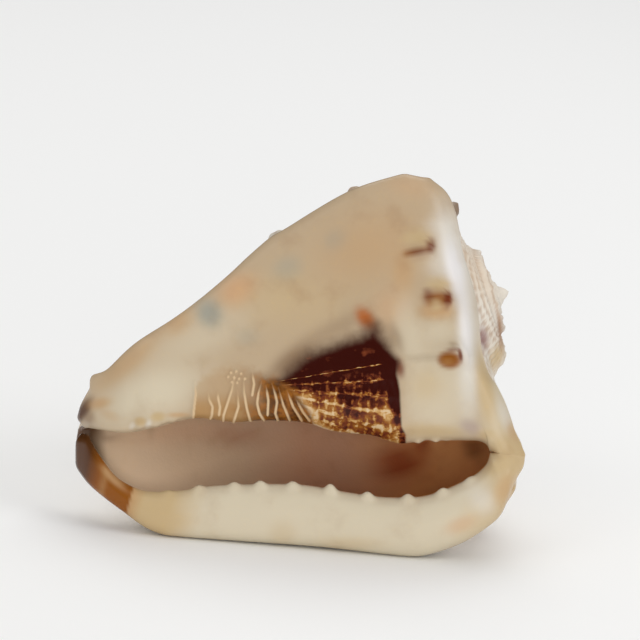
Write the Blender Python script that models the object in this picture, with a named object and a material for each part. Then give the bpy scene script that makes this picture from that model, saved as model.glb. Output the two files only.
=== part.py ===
"""Helmet shell, one solid piece: a broad glazed shield above a long mouth, a thick toothed lip below it,
a knobbed body whorl behind and a low spire at one side. Metres, +Z up, resting on its lip and its back."""

import math

import bmesh
import bpy
import numpy as np
from mathutils import Matrix

MM = 0.001
NAME = "helmet_shell"
SHELL_COLOUR = (0.78, 0.66, 0.5, 1.0)
TRIANGLES = 9400

# The lean and roll about X and Y that set the shell on its lip and its back, and how much of each
# resting place is worn flat, in metres.
LEAN = math.radians(-13.1)
ROLL = math.radians(-5.2)
WORN = 0.5 * MM

# Outlines of the mouth side, (x, z) in millimetres. x runs from the canal end to the spire side, and z
# up from the mouth. This side faces -Y before the shell is leaned back, and y is the depth behind it.
RIM = [(-3.0, -1.0), (1.1, 4.9), (2.9, 9.5), (7.1, 16.4), (13.8, 23.3), (22.8, 31.5), (37.9, 41.5),
       (56.1, 55.7), (71.0, 69.0), (90.3, 81.0), (103.7, 88.3), (116.5, 92.5), (122.7, 93.4), (132.1, 91.1)]
COLUMELLA_EDGE = [(-3.0, 0.6), (3.8, 0.4), (10.7, -0.2), (19.7, -1.0), (29.5, 0.6), (40.3, 3.4), (47.0, 4.2),
                  (59.7, 2.8), (68.5, 3.4), (83.8, 2.8), (95.1, -0.4), (108.9, -1.8), (119.3, -4.9),
                  (128.9, -4.0), (136.2, -4.0), (143.4, -4.0), (148.2, -4.2), (151.1, -5.6), (152.5, -8.2)]
LIP_INNER = [(-3.0, -1.4), (3.6, -1.8), (5.8, -3.6), (9.5, -9.1), (15.6, -16.8), (22.8, -21.1), (29.5, -22.5),
             (40.1, -22.0), (49.0, -20.6), (62.1, -19.9), (83.2, -20.0), (101.1, -22.9), (113.3, -24.5),
             (125.3, -24.5), (133.2, -22.8), (139.1, -20.4), (146.4, -16.7), (151.0, -12.5), (152.5, -8.2)]
LIP_OUTER = [(-3.0, -9.0), (1.7, -15.6), (5.8, -20.4), (11.9, -25.3), (18.6, -30.1), (25.9, -35.3),
             (31.9, -37.9), (37.9, -38.9), (61.9, -40.7), (90.3, -42.8), (113.3, -45.4), (125.3, -46.3),
             (134.4, -44.4), (143.4, -40.8), (151.9, -35.3), (156.7, -30.6), (159.7, -23.3)]
# The end beyond the mouth, from the mouth's own line up round the shield, and down round the lip.
SHIELD_END = [(165.3, -9.5), (163.9, -5.8), (161.6, -1.0), (159.2, 6.3), (155.5, 14.7), (152.0, 20.5),
              (149.3, 30.0), (147.7, 45.4), (145.0, 56.0), (142.0, 66.0), (140.4, 76.1), (137.0, 86.0),
              (131.0, 91.6)]
LIP_END = [(165.3, -9.5), (164.6, -13.7), (162.3, -17.5), (160.3, -21.5)]

# The coiling axis, and the slant of the sections, which are square to it along most of the shell.
AXIS_FOOT = np.array((1.5, 3.0))
AXIS_ANGLE = math.radians(16.7)
SLANT_FROM, SLANT_TO = 4.0, 46.0
FIRST_SECTION, LAST_SECTION = 0.4, 136.9
CANAL_END_ROUND = 1.2

# Sizes in millimetres against the place of the section along the axis.
BACK_DEPTH = [(0.0, 12.0), (8.0, 17.0), (20.0, 26.0), (40.0, 42.0), (60.0, 57.0), (80.0, 70.0),
              (100.0, 81.0), (115.0, 88.0), (127.0, 91.0), (136.9, 90.0)]
BACK_RIDGE = [(0.0, -4.0), (20.0, -2.0), (50.0, 0.0), (140.0, 0.0)]
CANAL_LIFT = [(0.0, 22.0), (6.0, 12.5), (12.0, 6.2), (20.0, 1.8), (30.0, 0.0), (140.0, 0.0)]
CANAL_NOTCH = 3.4
FEATURE_SCALE = [(0.0, 0.32), (10.0, 0.44), (30.0, 0.66), (70.0, 0.9), (110.0, 1.0), (140.0, 1.0)]
CAVITY_END = [(0.0, 112.0), (20.0, 106.0), (60.0, 88.0), (100.0, 80.0), (140.0, 74.0)]
WALL = 3.6
MOUTH_DEPTH = 9.0
CAVITY_CLOSES_FROM = 116.0
BACK_ROUND = 0.91

# The shoulder's rings, as (advance along the axis, radius share), and the spire: the height of its cone
# along the axis against its radius, and the relief of one whorl from seam to seam.
SHOULDER = [(3.6, 0.985), (7.0, 0.93), (8.6, 0.85)]
EDGE_DEPTH = [(0.0, 9.0), (7.0, 9.0), (9.0, 9.2), (11.0, 9.8), (13.0, 12.0), (14.0, 16.0), (22.0, 16.0), (24.0, 11.5),
              (26.0, 9.5), (28.0, 8.8), (33.0, 9.0)]
CONE = [(0.0, 165.8), (1.5, 164.6), (3.0, 162.6), (6.0, 160.9), (10.0, 159.8), (15.0, 158.9), (20.0, 157.4),
        (25.0, 154.4), (30.0, 152.2), (40.0, 149.5), (60.0, 146.0)]
WHORL_PROFILE = [(0.0, -1.0), (0.15, -0.55), (0.62, 0.95), (0.74, 0.85), (0.9, -0.6), (1.0, -1.0)]
WHORL_STEP = 1.3
WHORL_KNOBS = 14
WHORL_GROWTH = 1.9
SEAM_RADIUS = 29.0
AXIS_DEPTH = 43.0
AXIS_CENTRE = np.array((0.0, 0.0, AXIS_DEPTH))
# The places of the shield's rim and of the lip's outer edge in the order of a section's points.
RIM_PLACE, LIP_PLACE = 11.0, 26.0


# Bumps: on the mouth side as (x, z, height, radius, direction), along the lip as (section, height), and
# on the back as (section, degrees round from the rim's side to the lip's, height, radius).
FACE_KNOBS = [(127.1, 65.9, 3.6, 4.6, (0.55, -0.8, 0.1)), (134.4, 47.3, 4.6, 5.2, (0.6, -0.8, 0.05)),
              (138.8, 26.6, 4.6, 5.4, (0.6, -0.8, 0.0)), (146.8, -1.8, 2.6, 5.5, (0.3, -0.9, 0.0)),
              (104.9, 43.0, 1.6, 6.0, (0.2, -0.95, 0.1)), (126.5, -4.5, 1.3, 1.6, (0.0, -0.6, -0.7)),
              (132.5, -4.6, 1.5, 1.7, (0.0, -0.6, -0.7)), (136.5, -5.6, 1.3, 1.6, (0.0, -0.6, -0.7))]
CANAL_DENTICLES = [(24.5, 1.6), (27.8, 2.6), (30.6, 1.9), (33.6, 3.4), (37.0, 3.6)]
LIP_TEETH = [(28.5, 0.8), (36.8, 1.5), (47.7, 1.7), (56.6, 2.1), (67.4, 1.9), (79.6, 2.9), (91.4, 2.2),
             (104.5, 2.2), (116.5, 1.9), (127.0, 1.2)]
TOOTH_PLACE = 31.6
BACK_KNOBS = ([(131.0, degrees, 5.0, 8.0) for degrees in (22, 52, 82, 112, 138)] + [(130.0, 158, 6.5, 9.0)]
              + [(106.0, degrees, 2.8, 6.5) for degrees in (30, 60, 90, 118)] + [(104.0, 146, 6.0, 9.0)]
              + [(84.0, degrees, 2.0, 5.5) for degrees in (36, 66, 95, 122)] + [(80.0, 146, 6.0, 8.5)]
              + [(62.0, degrees, 1.4, 4.6) for degrees in (46, 78, 108, 136)])
BACK_ANGLES = (10, 26, 44, 64, 88, 110, 130, 148, 164)


def steady(points, places):
    """A smooth line through (place, value) points that never overshoots them."""
    xs, ys = np.array(points, float).T
    width = np.diff(xs)
    rise = np.diff(ys) / width
    slope = np.zeros(len(xs))
    slope[0], slope[-1] = rise[0], rise[-1]
    same_way = rise[:-1] * rise[1:] > 0
    both = np.where(same_way, rise[:-1] + rise[1:], 1.0)
    slope[1:-1] = np.where(same_way, 2 * rise[:-1] * rise[1:] / both, 0.0)
    places = np.clip(np.asarray(places, float), xs[0], xs[-1])
    i = np.clip(np.searchsorted(xs, places) - 1, 0, len(xs) - 2)
    f = (places - xs[i]) / width[i]
    hermite = (1 + 2 * f) * (1 - f) ** 2 * ys[i] + f * f * (3 - 2 * f) * ys[i + 1]
    return hermite + width[i] * (f * (1 - f) ** 2 * slope[i] - f * f * (1 - f) * slope[i + 1])


def ease(value):
    """0 below 0, 1 above 1, and a smooth step between."""
    f = np.clip(value, 0.0, 1.0)
    return f * f * (3 - 2 * f)


def spline_weights(places, count):
    """How much each of count points weighs in a Catmull-Rom curve at each place, counted in spans."""
    places = np.asarray(places, float)
    span = np.clip(places.astype(int), 0, count - 2)
    f = places - span
    parts = (-0.5 * f + f**2 - 0.5 * f**3, 1 - 2.5 * f**2 + 1.5 * f**3,
             0.5 * f + 2 * f**2 - 1.5 * f**3, -0.5 * f**2 + 0.5 * f**3)
    weights = np.zeros((len(places), count))
    rows = np.arange(len(places))
    for offset, part in zip((-1, 0, 1, 2), parts):
        index = span + offset
        inside = (index >= 0) & (index < count)
        np.add.at(weights, (rows[inside], index[inside]), part[inside])
        low = index < 0
        np.add.at(weights, (rows[low], np.zeros(low.sum(), int)), 2 * part[low])
        np.add.at(weights, (rows[low], np.ones(low.sum(), int)), -part[low])
        high = index >= count
        np.add.at(weights, (rows[high], np.full(high.sum(), count - 1)), 2 * part[high])
        np.add.at(weights, (rows[high], np.full(high.sum(), count - 2)), -part[high])
    return weights


def drawn(outline, samples=24):
    """An outline as many points on the smooth curve through its own."""
    points = np.array(outline, float)
    places = np.linspace(0, len(points) - 1, samples * (len(points) - 1) + 1)
    return spline_weights(places, len(points)) @ points


def share_places(densities, count):
    """count + 1 places along the spans, closer together where the density is higher."""
    total = np.concatenate(([0.0], np.cumsum(densities)))
    return np.interp(np.linspace(0, total[-1], count + 1), total, np.arange(len(total)))


class Sections:
    """The sections of the shell: the landmarks of each, across the axis, in millimetres."""

    def __init__(self, places):
        self.x = np.asarray(places, float)
        self.slant = AXIS_ANGLE * ease((self.x - SLANT_FROM) / (SLANT_TO - SLANT_FROM))
        self.foot_z = AXIS_FOOT[1] + math.tan(AXIS_ANGLE) * (self.x - AXIS_FOOT[0])
        self.scale = steady(FEATURE_SCALE, self.x)
        self.back = steady(BACK_DEPTH, self.x)
        self.ridge = steady(BACK_RIDGE, self.x)
        self.lift = steady(CANAL_LIFT, self.x)
        self.rim, self.columella, self.lip_in, self.lip_out = (
            self.crossings(outline) for outline in (RIM, COLUMELLA_EDGE, LIP_INNER, LIP_OUTER))

    def crossings(self, outline):
        """Where each section line meets the outline, measured across the axis."""
        points = drawn(outline)
        found = []
        for x, z, slant in zip(self.x, self.foot_z, self.slant):
            offset = points - (x, z)
            forward = offset @ (math.cos(slant), math.sin(slant))
            across = offset @ (-math.sin(slant), math.cos(slant))
            order = np.argsort(forward)
            found.append(np.interp(0.0, forward[order], across[order]))
        return np.array(found)

    def place(self, across, depth):
        """Points of the shell for places (across the axis, depth) in each section."""
        x = self.x[:, None] - across * np.sin(self.slant)[:, None]
        z = self.foot_z[:, None] + across * np.cos(self.slant)[:, None]
        fade = ease(1 - self.x / 14.0)[:, None]
        x = x + CANAL_NOTCH * fade * np.exp(-(((z - 0.2) / 2.8) ** 2)) * np.exp(-((depth / 9.0) ** 2))
        return np.stack((x, depth + self.lift[:, None], z), axis=-1)

    def back_arc(self, angle, inset):
        """The back of the shell, at an angle from the rim's side round to the lip's, in degrees."""
        m = self.scale
        turn = np.radians(angle)
        side = np.where(np.cos(turn) > 0, self.rim - 6.0 * m - inset - self.ridge,
                        self.ridge - self.lip_out - 6.5 * m - inset)
        across = self.ridge + side * np.sign(np.cos(turn)) * np.abs(np.cos(turn)) ** BACK_ROUND
        low = m * (12.0 + 10.0 * (1 - np.cos(turn)) / 2)
        depth = low + (self.back - inset - low) * np.abs(np.sin(turn)) ** BACK_ROUND
        return across, depth

    def face_depth(self, across):
        """How the mouth side swells towards the viewer, above the mouth."""
        belly = np.exp(-(((self.x - 104.0) / 30.0) ** 2) - ((across + 22.0) / 24.0) ** 2)
        edge = np.clip(across / np.maximum(self.rim, 1.0), 0.0, 1.0) ** 2
        shoulder = np.exp(-(((self.x - 131.0 + 0.3 * across) / 13.0) ** 2))
        return self.scale * (2.0 * edge - 4.0 * belly - 1.6 * shoulder)

    def outer_points(self):
        """Control points from the columella's edge over the shield, the back and the lip to the lip's edge."""
        m, rim, col = self.scale, self.rim, self.columella
        lip_in, lip_out = self.lip_in, self.lip_out
        low, high = col + np.minimum(6.0 * m, 0.4 * (rim - col)), rim - np.minimum(7.0 * m, 0.45 * (rim - col))
        points = [(col, MOUTH_DEPTH * m), (col + 0.3 * m, 5.5 * m), (col + 2.4 * m, 2.4 * m)]
        for share in (0.0, 0.22, 0.44, 0.64, 0.84, 1.0):
            across = low + share * (high - low)
            points.append((across, self.face_depth(across) + 0.5 * m * (1 - share) ** 6))
        brim = self.face_depth(rim)
        points += [(rim - 2.2 * m, brim + 0.4 * m), (rim - 0.3 * m, brim + 2.2 * m), (rim, brim + 4.4 * m),
                   (rim - 1.6 * m, brim + 6.6 * m), (rim - 4.6 * m, 10.4 * m)]
        for angle in BACK_ANGLES:
            points.append(self.back_arc(angle, 0.0))
        points += [(lip_out + 7.0 * m, 22.0 * m), (lip_out + 5.2 * m, 16.5 * m), (lip_out + 1.4 * m, 12.5 * m),
                   (lip_out, 8.0 * m), (lip_out + 1.2 * m, 3.5 * m), (lip_out + 5.0 * m, 0.6 * m)]
        width = lip_in - lip_out
        points += [(lip_out + 0.5 * width, -0.9 * m), (lip_out + 0.78 * width, 0.1 * m),
                   (lip_in - 0.09 * width, 2.0 * m), (lip_in - 0.01 * width, 5.0 * m),
                   (lip_in, MOUTH_DEPTH * m)]
        return np.stack([np.stack(np.broadcast_arrays(a, d), -1) for a, d in points], axis=1)

    def inner_points(self):
        """Control points from the columella's edge round the hollow to the lip's edge."""
        m, col, lip_in = self.scale, self.columella, self.lip_in
        wall = WALL * (0.45 + 0.55 * m)
        end = steady(CAVITY_END, self.x)
        centre = np.maximum(self.ridge, col - 0.25 * (self.rim - col))
        mouth = MOUTH_DEPTH * m
        height = 0.66 * (self.back - wall - mouth)
        steps = np.arange(1, 9) / 8
        core, outer = [], []
        for step in steps:
            turn = np.radians(180.0 - (180.0 - end) * step)
            side = np.where(np.cos(turn) > 0, 0.5 * (self.rim - 6.0 * m - centre), centre - col)
            core.append((centre + side * np.sign(np.cos(turn)) * np.abs(np.cos(turn)) ** BACK_ROUND,
                         mouth + height * np.abs(np.sin(turn)) ** BACK_ROUND))
            outer.append(self.back_arc(np.degrees(turn), wall))
        (ca, cd), (oa, od) = core[-1], outer[-1]
        gap_a, gap_d = oa - ca, od - cd
        cap = [(ca + s * gap_a + b * gap_d, cd + s * gap_d - b * gap_a)
               for s, b in ((0.14, 0.33), (0.5, 0.48), (0.86, 0.33))]
        lip = [(self.lip_out + 8.6 * m + wall, 18.5 * m), (lip_in - 3.0 * m, 13.5 * m)]
        points = [(col, mouth)] + core + cap + outer[::-1] + lip + [(lip_in, mouth)]
        points = np.stack([np.stack(np.broadcast_arrays(a, d), -1) for a, d in points], axis=1)
        # The hollow closes to a point at the spire's end of the mouth.
        late = np.clip((self.x - CAVITY_CLOSES_FROM) / (LAST_SECTION - CAVITY_CLOSES_FROM), 0, 1)
        open_share = np.sqrt(1 - late**2)[:, None, None]
        share = np.linspace(0, 1, points.shape[1])[None, :, None]
        sill = points[:, :1] * (1 - share) + points[:, -1:] * share
        return sill + open_share * (points - sill)


OUTER_DENSITY = [1.2, 1.2, 1.3] + [1.4] * 5 + [1.2, 0.8, 0.6, 0.6, 0.8] + [0.8] + [1.3] * 9 + [
    0.9, 0.8, 0.8, 0.8, 0.9, 1.2, 1.2, 1.2, 1.2, 1.0]
INNER_DENSITY = [1.0] * 8 + [0.5] * 4 + [1.2] * 7 + [1.0, 1.0, 1.0]


def shell_grids(rows, columns, end_rows, spire_rows):
    """The outside, from the canal over the body to the apex, and the hollow, as grids of points."""
    share = np.linspace(0, 1, rows + 1)
    share = 0.62 * share + 0.38 * (1 - np.cos(math.pi * share)) / 2
    cut = Sections(FIRST_SECTION + (LAST_SECTION - FIRST_SECTION) * share)
    outer_at = spline_weights(share_places(OUTER_DENSITY, columns), len(OUTER_DENSITY) + 1)
    inner_at = spline_weights(share_places(INNER_DENSITY, columns), len(INNER_DENSITY) + 1)
    outer = np.einsum("jk,ikd->ijd", outer_at, cut.outer_points())
    inner = np.einsum("jk,ikd->ijd", inner_at, cut.inner_points())
    for i, x in enumerate(cut.x):
        near = 1 - (x - cut.x[0]) / CANAL_END_ROUND
        if near > 0:
            outer[i], inner[i] = drawn_together(outer[i], inner[i], 1 - math.sqrt(1 - near**2))
    corner = (outer[-1, 0] + outer[-1, -1]) / 2
    outer[-1, 0] = outer[-1, -1] = inner[-1] = corner
    body = cut.place(outer[..., 0], outer[..., 1])
    hollow = cut.place(inner[..., 0], inner[..., 1])
    places = share_places(OUTER_DENSITY, columns)
    outside = np.concatenate((body, spire_end(outer[-1], places, end_rows, spire_rows)), axis=0)
    outside = add_bumps(outside, cut, places)
    hollow[:, 0], hollow[:, -1] = outside[:rows + 1, 0], outside[:rows + 1, -1]
    return outside, hollow


def drawn_together(outer, inner, share):
    """Two lines of a section moved towards each other, never past half way, with their ends kept."""
    gap = inner[None, :, :] - outer[:, None, :]
    distance = np.linalg.norm(gap, axis=-1)
    moved = []
    for line, to_other, way in ((outer, distance.argmin(1), 1), (inner, distance.argmin(0), -1)):
        index = np.arange(len(line))
        step = gap[index, to_other] if way == 1 else -gap[to_other, index]
        length = np.maximum(np.linalg.norm(step, axis=-1, keepdims=True), 1e-6)
        amount = share * np.minimum(0.4, CANAL_END_ROUND / length)
        amount[0] = amount[-1] = 0.0
        moved.append(line + amount * step)
    return moved


def spire_end(last, places, end_rows, spire_rows):
    """The end beyond the mouth and the spire, from the last section's (across, depth) points."""
    start = (LAST_SECTION - AXIS_FOOT[0]) / math.cos(AXIS_ANGLE)
    across, depth = last.T
    corner = across[0]
    up = np.clip((across - corner) / (np.interp(RIM_PLACE, places, across) - corner), 0, 1)
    up[places > RIM_PLACE] = 1.0
    down = np.clip((across - corner) / (np.interp(LIP_PLACE, places, across) - corner), 0, 1)
    down[places < LIP_PLACE] = 1.0
    upper = places < (RIM_PLACE + LIP_PLACE) / 2
    edge = np.where(upper[:, None], along_outline(SHIELD_END, up), along_outline(LIP_END, down))
    front = np.where(upper, 1 - ease((places - RIM_PLACE) / 5.0), ease((places - LIP_PLACE + 2.0) / 3.0))
    ring = np.stack((np.full_like(across, start), across, depth), -1)
    level = np.where((places < 5) | (places > 29), np.minimum(depth, 1.6), depth)
    edge = np.column_stack((edge, steady(EDGE_DEPTH, places)))
    half = ring + 0.56 * (edge - ring)
    half[:, 2] = level + 0.25 * (edge[:, 2] - level)
    undercut = AXIS_CENTRE + (edge - AXIS_CENTRE) * (1.0, 0.92, 0.92) - (0.8, 0.0, 0.0)
    knots = [ring]
    for (advance, shrink), on_edge in zip(SHOULDER, (half, edge, undercut)):
        turned = AXIS_CENTRE + (ring - AXIS_CENTRE) * (0.0, shrink, shrink) + (start + advance, 0.0, 0.0)
        knots.append(turned + front[:, None] * (on_edge - turned))
    at = spline_weights(np.linspace(0, 3, end_rows + 1)[1:], 4)
    rings = np.einsum("rk,kjd->rjd", at, np.array(knots))
    # From behind the edge the surface runs in over the ramp and the spire to the apex.
    share = np.linspace(0, 1, spire_rows + 1)[1:]
    inward = (1 - share[:, None]) ** 1.1
    blend = ease(share[:, None] / 0.3)
    own_t, own_w = knots[-1][:, 1], knots[-1][:, 2] - AXIS_DEPTH
    turn, reach = even_loop(own_t, own_w)
    offset_t = inward * (own_t * (1 - blend) + reach * np.cos(turn) * blend)
    offset_w = inward * (own_w * (1 - blend) + reach * np.sin(turn) * blend)
    height = spire_height(np.hypot(offset_t, offset_w), np.arctan2(offset_w, offset_t))
    s = knots[-1][:, 0] * (1 - blend) + height * blend
    rings = np.concatenate((rings, np.stack((s, offset_t, offset_w + AXIS_DEPTH), -1)), axis=0)
    x = AXIS_FOOT[0] + rings[..., 0] * math.cos(AXIS_ANGLE) - rings[..., 1] * math.sin(AXIS_ANGLE)
    z = AXIS_FOOT[1] + rings[..., 0] * math.sin(AXIS_ANGLE) + rings[..., 1] * math.cos(AXIS_ANGLE)
    return np.stack((x, rings[..., 2], z), -1)


def even_loop(across, depth):
    """Directions that turn evenly once round the axis, and smoothed radii, for a closed ring of points."""
    turn = np.unwrap(np.arctan2(depth, across))
    reach = np.hypot(across, depth)
    width = max(3, len(turn) // 12)
    window = np.hanning(width + 2)[1:-1]
    window /= window.sum()
    step = np.diff(turn)
    total = step.sum()

    def smoothed(ring):
        return np.convolve(np.concatenate((ring[-width:], ring, ring[:width])), window, "same")[width:-width]

    step = np.maximum(smoothed(step), 0.35 * total / len(step))
    turn = turn[0] + np.concatenate(([0.0], np.cumsum(step * total / step.sum())))
    reach = smoothed(reach[:-1])
    return turn, np.append(reach, reach[0])


def along_outline(outline, share):
    """(along, across) the axis at shares of an outline's length."""
    points = drawn(outline)
    length = np.concatenate(([0.0], np.cumsum(np.linalg.norm(np.diff(points, axis=0), axis=1))))
    x, z = (np.interp(share * length[-1], length, points[:, k]) - AXIS_FOOT[k] for k in (0, 1))
    cos, sin = math.cos(AXIS_ANGLE), math.sin(AXIS_ANGLE)
    return np.column_stack((x * cos + z * sin, z * cos - x * sin))


def spire_height(radius, turn):
    """The height along the axis of the whorls' ramps, from their seam out to their knobbed shoulder."""
    whorl = np.log(np.maximum(radius, 0.6) / SEAM_RADIUS) / math.log(WHORL_GROWTH) - turn / (2 * math.pi)
    within = (whorl + 0.5) % 1.0
    size = np.clip(radius / 20.0, 0, 1) * (1 - ease((radius - 30.0) / 14.0))
    relief = WHORL_STEP * steady(WHORL_PROFILE, within)
    knobs = 0.9 * np.exp(-(((within - 0.66) / 0.12) ** 2)) * np.maximum(0, np.cos(WHORL_KNOBS * turn)) ** 1.5
    return steady(CONE, radius) + size * (relief + knobs)


def add_bumps(outside, cut, places):
    """Raises the knobs, teeth and ridges, each as a soft bump about its own point of the surface."""
    normals = grid_normals(outside)
    rows = len(cut.x)

    def point_at(grid, section, place):
        i = np.interp(section, cut.x, np.arange(rows))
        j = np.interp(place, places, np.arange(len(places)))
        i0, j0 = min(int(i), rows - 2), min(int(j), len(places) - 2)
        f, g = i - i0, j - j0
        return ((grid[i0, j0] * (1 - f) + grid[i0 + 1, j0] * f) * (1 - g)
                + (grid[i0, j0 + 1] * (1 - f) + grid[i0 + 1, j0 + 1] * f) * g)

    moved = outside.copy()
    bumps = []
    for x, z, height, radius, direction in FACE_KNOBS + canal_denticles():
        flat = np.hypot(outside[..., 0] - x, outside[..., 2] - z) + 1000.0 * (normals[..., 1] > -0.2)
        nearest = np.unravel_index(np.argmin(flat), flat.shape)
        bumps.append((np.array((x, outside[nearest][1], z)), height, radius, direction))
    for x, height in LIP_TEETH:
        anchor = point_at(outside, x, TOOTH_PLACE)
        bumps.append((anchor, height, 2.3, (0.0, -0.45, 0.9)))
    for section, degrees, height, radius in BACK_KNOBS:
        place = 14.0 + np.interp(degrees, BACK_ANGLES, np.arange(len(BACK_ANGLES)))
        bumps.append((point_at(outside, section, place), height, radius, point_at(normals, section, place)))
    for anchor, height, radius, direction in bumps:
        direction = np.array(direction, float)
        direction /= np.linalg.norm(direction)
        away = np.linalg.norm(outside - anchor, axis=-1) / radius
        moved += (height * np.exp(-np.minimum(away, 5.0) ** 2.4))[..., None] * direction
    return moved + (ridges(outside) * (normals[..., 1] < 0.3))[..., None] * normals


def canal_denticles():
    """The small bumps along the columella's edge near the canal."""
    return [(x, z, 0.9, 1.5, (0.0, -0.8, -0.5)) for x, z in CANAL_DENTICLES]


def ridges(points):
    """The heights of the wavy ridges beside the mouth, in millimetres."""
    x, y, z = points[..., 0], points[..., 1], points[..., 2]
    patch = ease((x - 44.0) / 4.0) * ease((88.0 - x) / 8.0) * ease((z - 1.5) / 3.0)
    patch *= ease((20.5 - z - 2.5 * np.sin(x / 3.1)) / 6.0) * (y < 12.0)
    phase = 2 * math.pi * (x + 0.3 * z + 0.9 * np.sin(z / 2.6)) / 3.3
    return 0.75 * patch * (0.5 + 0.5 * np.cos(phase)) ** 0.8


def grid_normals(points):
    """The outward direction at each point of a grid."""
    normals = np.cross(np.gradient(points, axis=0), np.gradient(points, axis=1))
    return normals / np.maximum(np.linalg.norm(normals, axis=-1, keepdims=True), 1e-9)


def grid_mesh(bm, points):
    """A Blender grid with its vertices moved to the points."""
    rows, columns = points.shape[0] - 1, points.shape[1] - 1
    made = bmesh.ops.create_grid(bm, x_segments=rows, y_segments=columns, size=1.0)
    for vertex in made["verts"]:
        i = round((vertex.co.x + 1) / 2 * rows)
        j = round((vertex.co.y + 1) / 2 * columns)
        vertex.co = points[i, j] * MM


def closed_mesh(rows, columns, end_rows, spire_rows):
    """The whole shell as one closed skin of triangles, at the given fineness."""
    outside, hollow = shell_grids(rows, columns, end_rows, spire_rows)
    bm = bmesh.new()
    grid_mesh(bm, outside)
    grid_mesh(bm, hollow)
    bmesh.ops.remove_doubles(bm, verts=bm.verts, dist=0.02 * MM)
    bmesh.ops.dissolve_degenerate(bm, edges=bm.edges, dist=0.01 * MM)
    bmesh.ops.holes_fill(bm, edges=[edge for edge in bm.edges if edge.is_boundary], sides=0)
    bmesh.ops.triangulate(bm, faces=bm.faces)
    bmesh.ops.recalc_face_normals(bm, faces=bm.faces)
    mesh = bpy.data.meshes.new(NAME)
    bm.to_mesh(mesh)
    bm.free()
    return mesh


def thinned(mesh, triangles):
    """The mesh brought down to about so many triangles, most where the shape turns most."""
    probe = bpy.data.objects.new("probe", mesh)
    bpy.context.scene.collection.objects.link(probe)
    step = probe.modifiers.new("fewer", "DECIMATE")
    step.ratio = triangles / len(mesh.polygons)
    fewer = bpy.data.meshes.new_from_object(probe.evaluated_get(bpy.context.evaluated_depsgraph_get()))
    bpy.data.objects.remove(probe)
    bpy.data.meshes.remove(mesh)
    return fewer


def rest(mesh):
    """Leans the shell back onto its lip and its back, and flattens the places that it rests on."""
    mesh.transform(Matrix.Rotation(LEAN, 4, "X") @ Matrix.Rotation(ROLL, 4, "Y"))
    count = len(mesh.vertices)
    points = np.empty(count * 3, np.float32)
    mesh.vertices.foreach_get("co", points)
    points = points.reshape(count, 3)
    points[:, 2] -= points[:, 2].min() + WORN
    points[:, 2] = np.maximum(points[:, 2], 0.0)
    points[:, :2] -= (points[:, :2].min(axis=0) + points[:, :2].max(axis=0)) / 2
    mesh.vertices.foreach_set("co", points.ravel())
    mesh.update()


def build():
    for old in list(bpy.data.objects):
        bpy.data.objects.remove(old)
    material = bpy.data.materials.new("shell_material")
    material.use_nodes = True
    shader = material.node_tree.nodes["Principled BSDF"]
    shader.inputs["Base Color"].default_value = SHELL_COLOUR
    shader.inputs["Roughness"].default_value = 0.3
    collection = bpy.data.collections.new("bullmouth_helmet_shell")
    bpy.context.scene.collection.children.link(collection)
    mesh = thinned(closed_mesh(250, 120, 18, 60), TRIANGLES)
    rest(mesh)
    mesh.name = NAME
    mesh.materials.clear()
    mesh.materials.append(material)
    shell = bpy.data.objects.new(NAME, mesh)
    collection.objects.link(shell)
    return shell


if __name__ == "__main__":
    build()
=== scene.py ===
"""The helmet shell as it looks: the solid's grown form drawn much finer, with the ridges and the net beside
the mouth, the cords of the back, and a glaze of soft colours. Metres, +Z up, resting on its lip and back."""

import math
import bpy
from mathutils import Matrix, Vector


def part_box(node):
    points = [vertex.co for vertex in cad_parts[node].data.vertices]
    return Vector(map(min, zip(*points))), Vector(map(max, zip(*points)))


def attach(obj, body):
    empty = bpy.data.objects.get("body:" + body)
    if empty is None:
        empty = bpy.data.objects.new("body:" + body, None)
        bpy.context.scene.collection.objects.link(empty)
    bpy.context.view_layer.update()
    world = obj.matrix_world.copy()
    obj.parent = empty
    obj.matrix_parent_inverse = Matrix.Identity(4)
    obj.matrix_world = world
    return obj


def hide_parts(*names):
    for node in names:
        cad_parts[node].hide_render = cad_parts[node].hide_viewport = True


bl_info = {
    "name": "Helmet shell",
    "version": (1, 0, 0),
    "blender": (4, 5, 0),
    "location": "3D View > Sidebar > Shell",
    "description": "Makes a glazed helmet shell and the stage that it lies on",
    "category": "Add Mesh",
}

import bmesh
import bpy
import numpy as np
from bpy.props import FloatProperty, FloatVectorProperty, IntProperty, PointerProperty
from bpy.types import Operator, Panel, PropertyGroup
from mathutils import Matrix, Vector

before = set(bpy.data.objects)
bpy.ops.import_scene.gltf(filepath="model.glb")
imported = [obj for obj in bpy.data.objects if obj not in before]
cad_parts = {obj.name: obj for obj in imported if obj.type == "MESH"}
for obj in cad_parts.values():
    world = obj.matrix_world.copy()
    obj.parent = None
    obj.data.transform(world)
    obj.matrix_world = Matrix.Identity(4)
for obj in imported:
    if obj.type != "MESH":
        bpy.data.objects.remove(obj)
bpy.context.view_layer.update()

MM = 0.001

# The lean and roll about X and Y that set the shell on its lip and its back.
LEAN = math.radians(-13.1)
ROLL = math.radians(-5.2)

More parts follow.
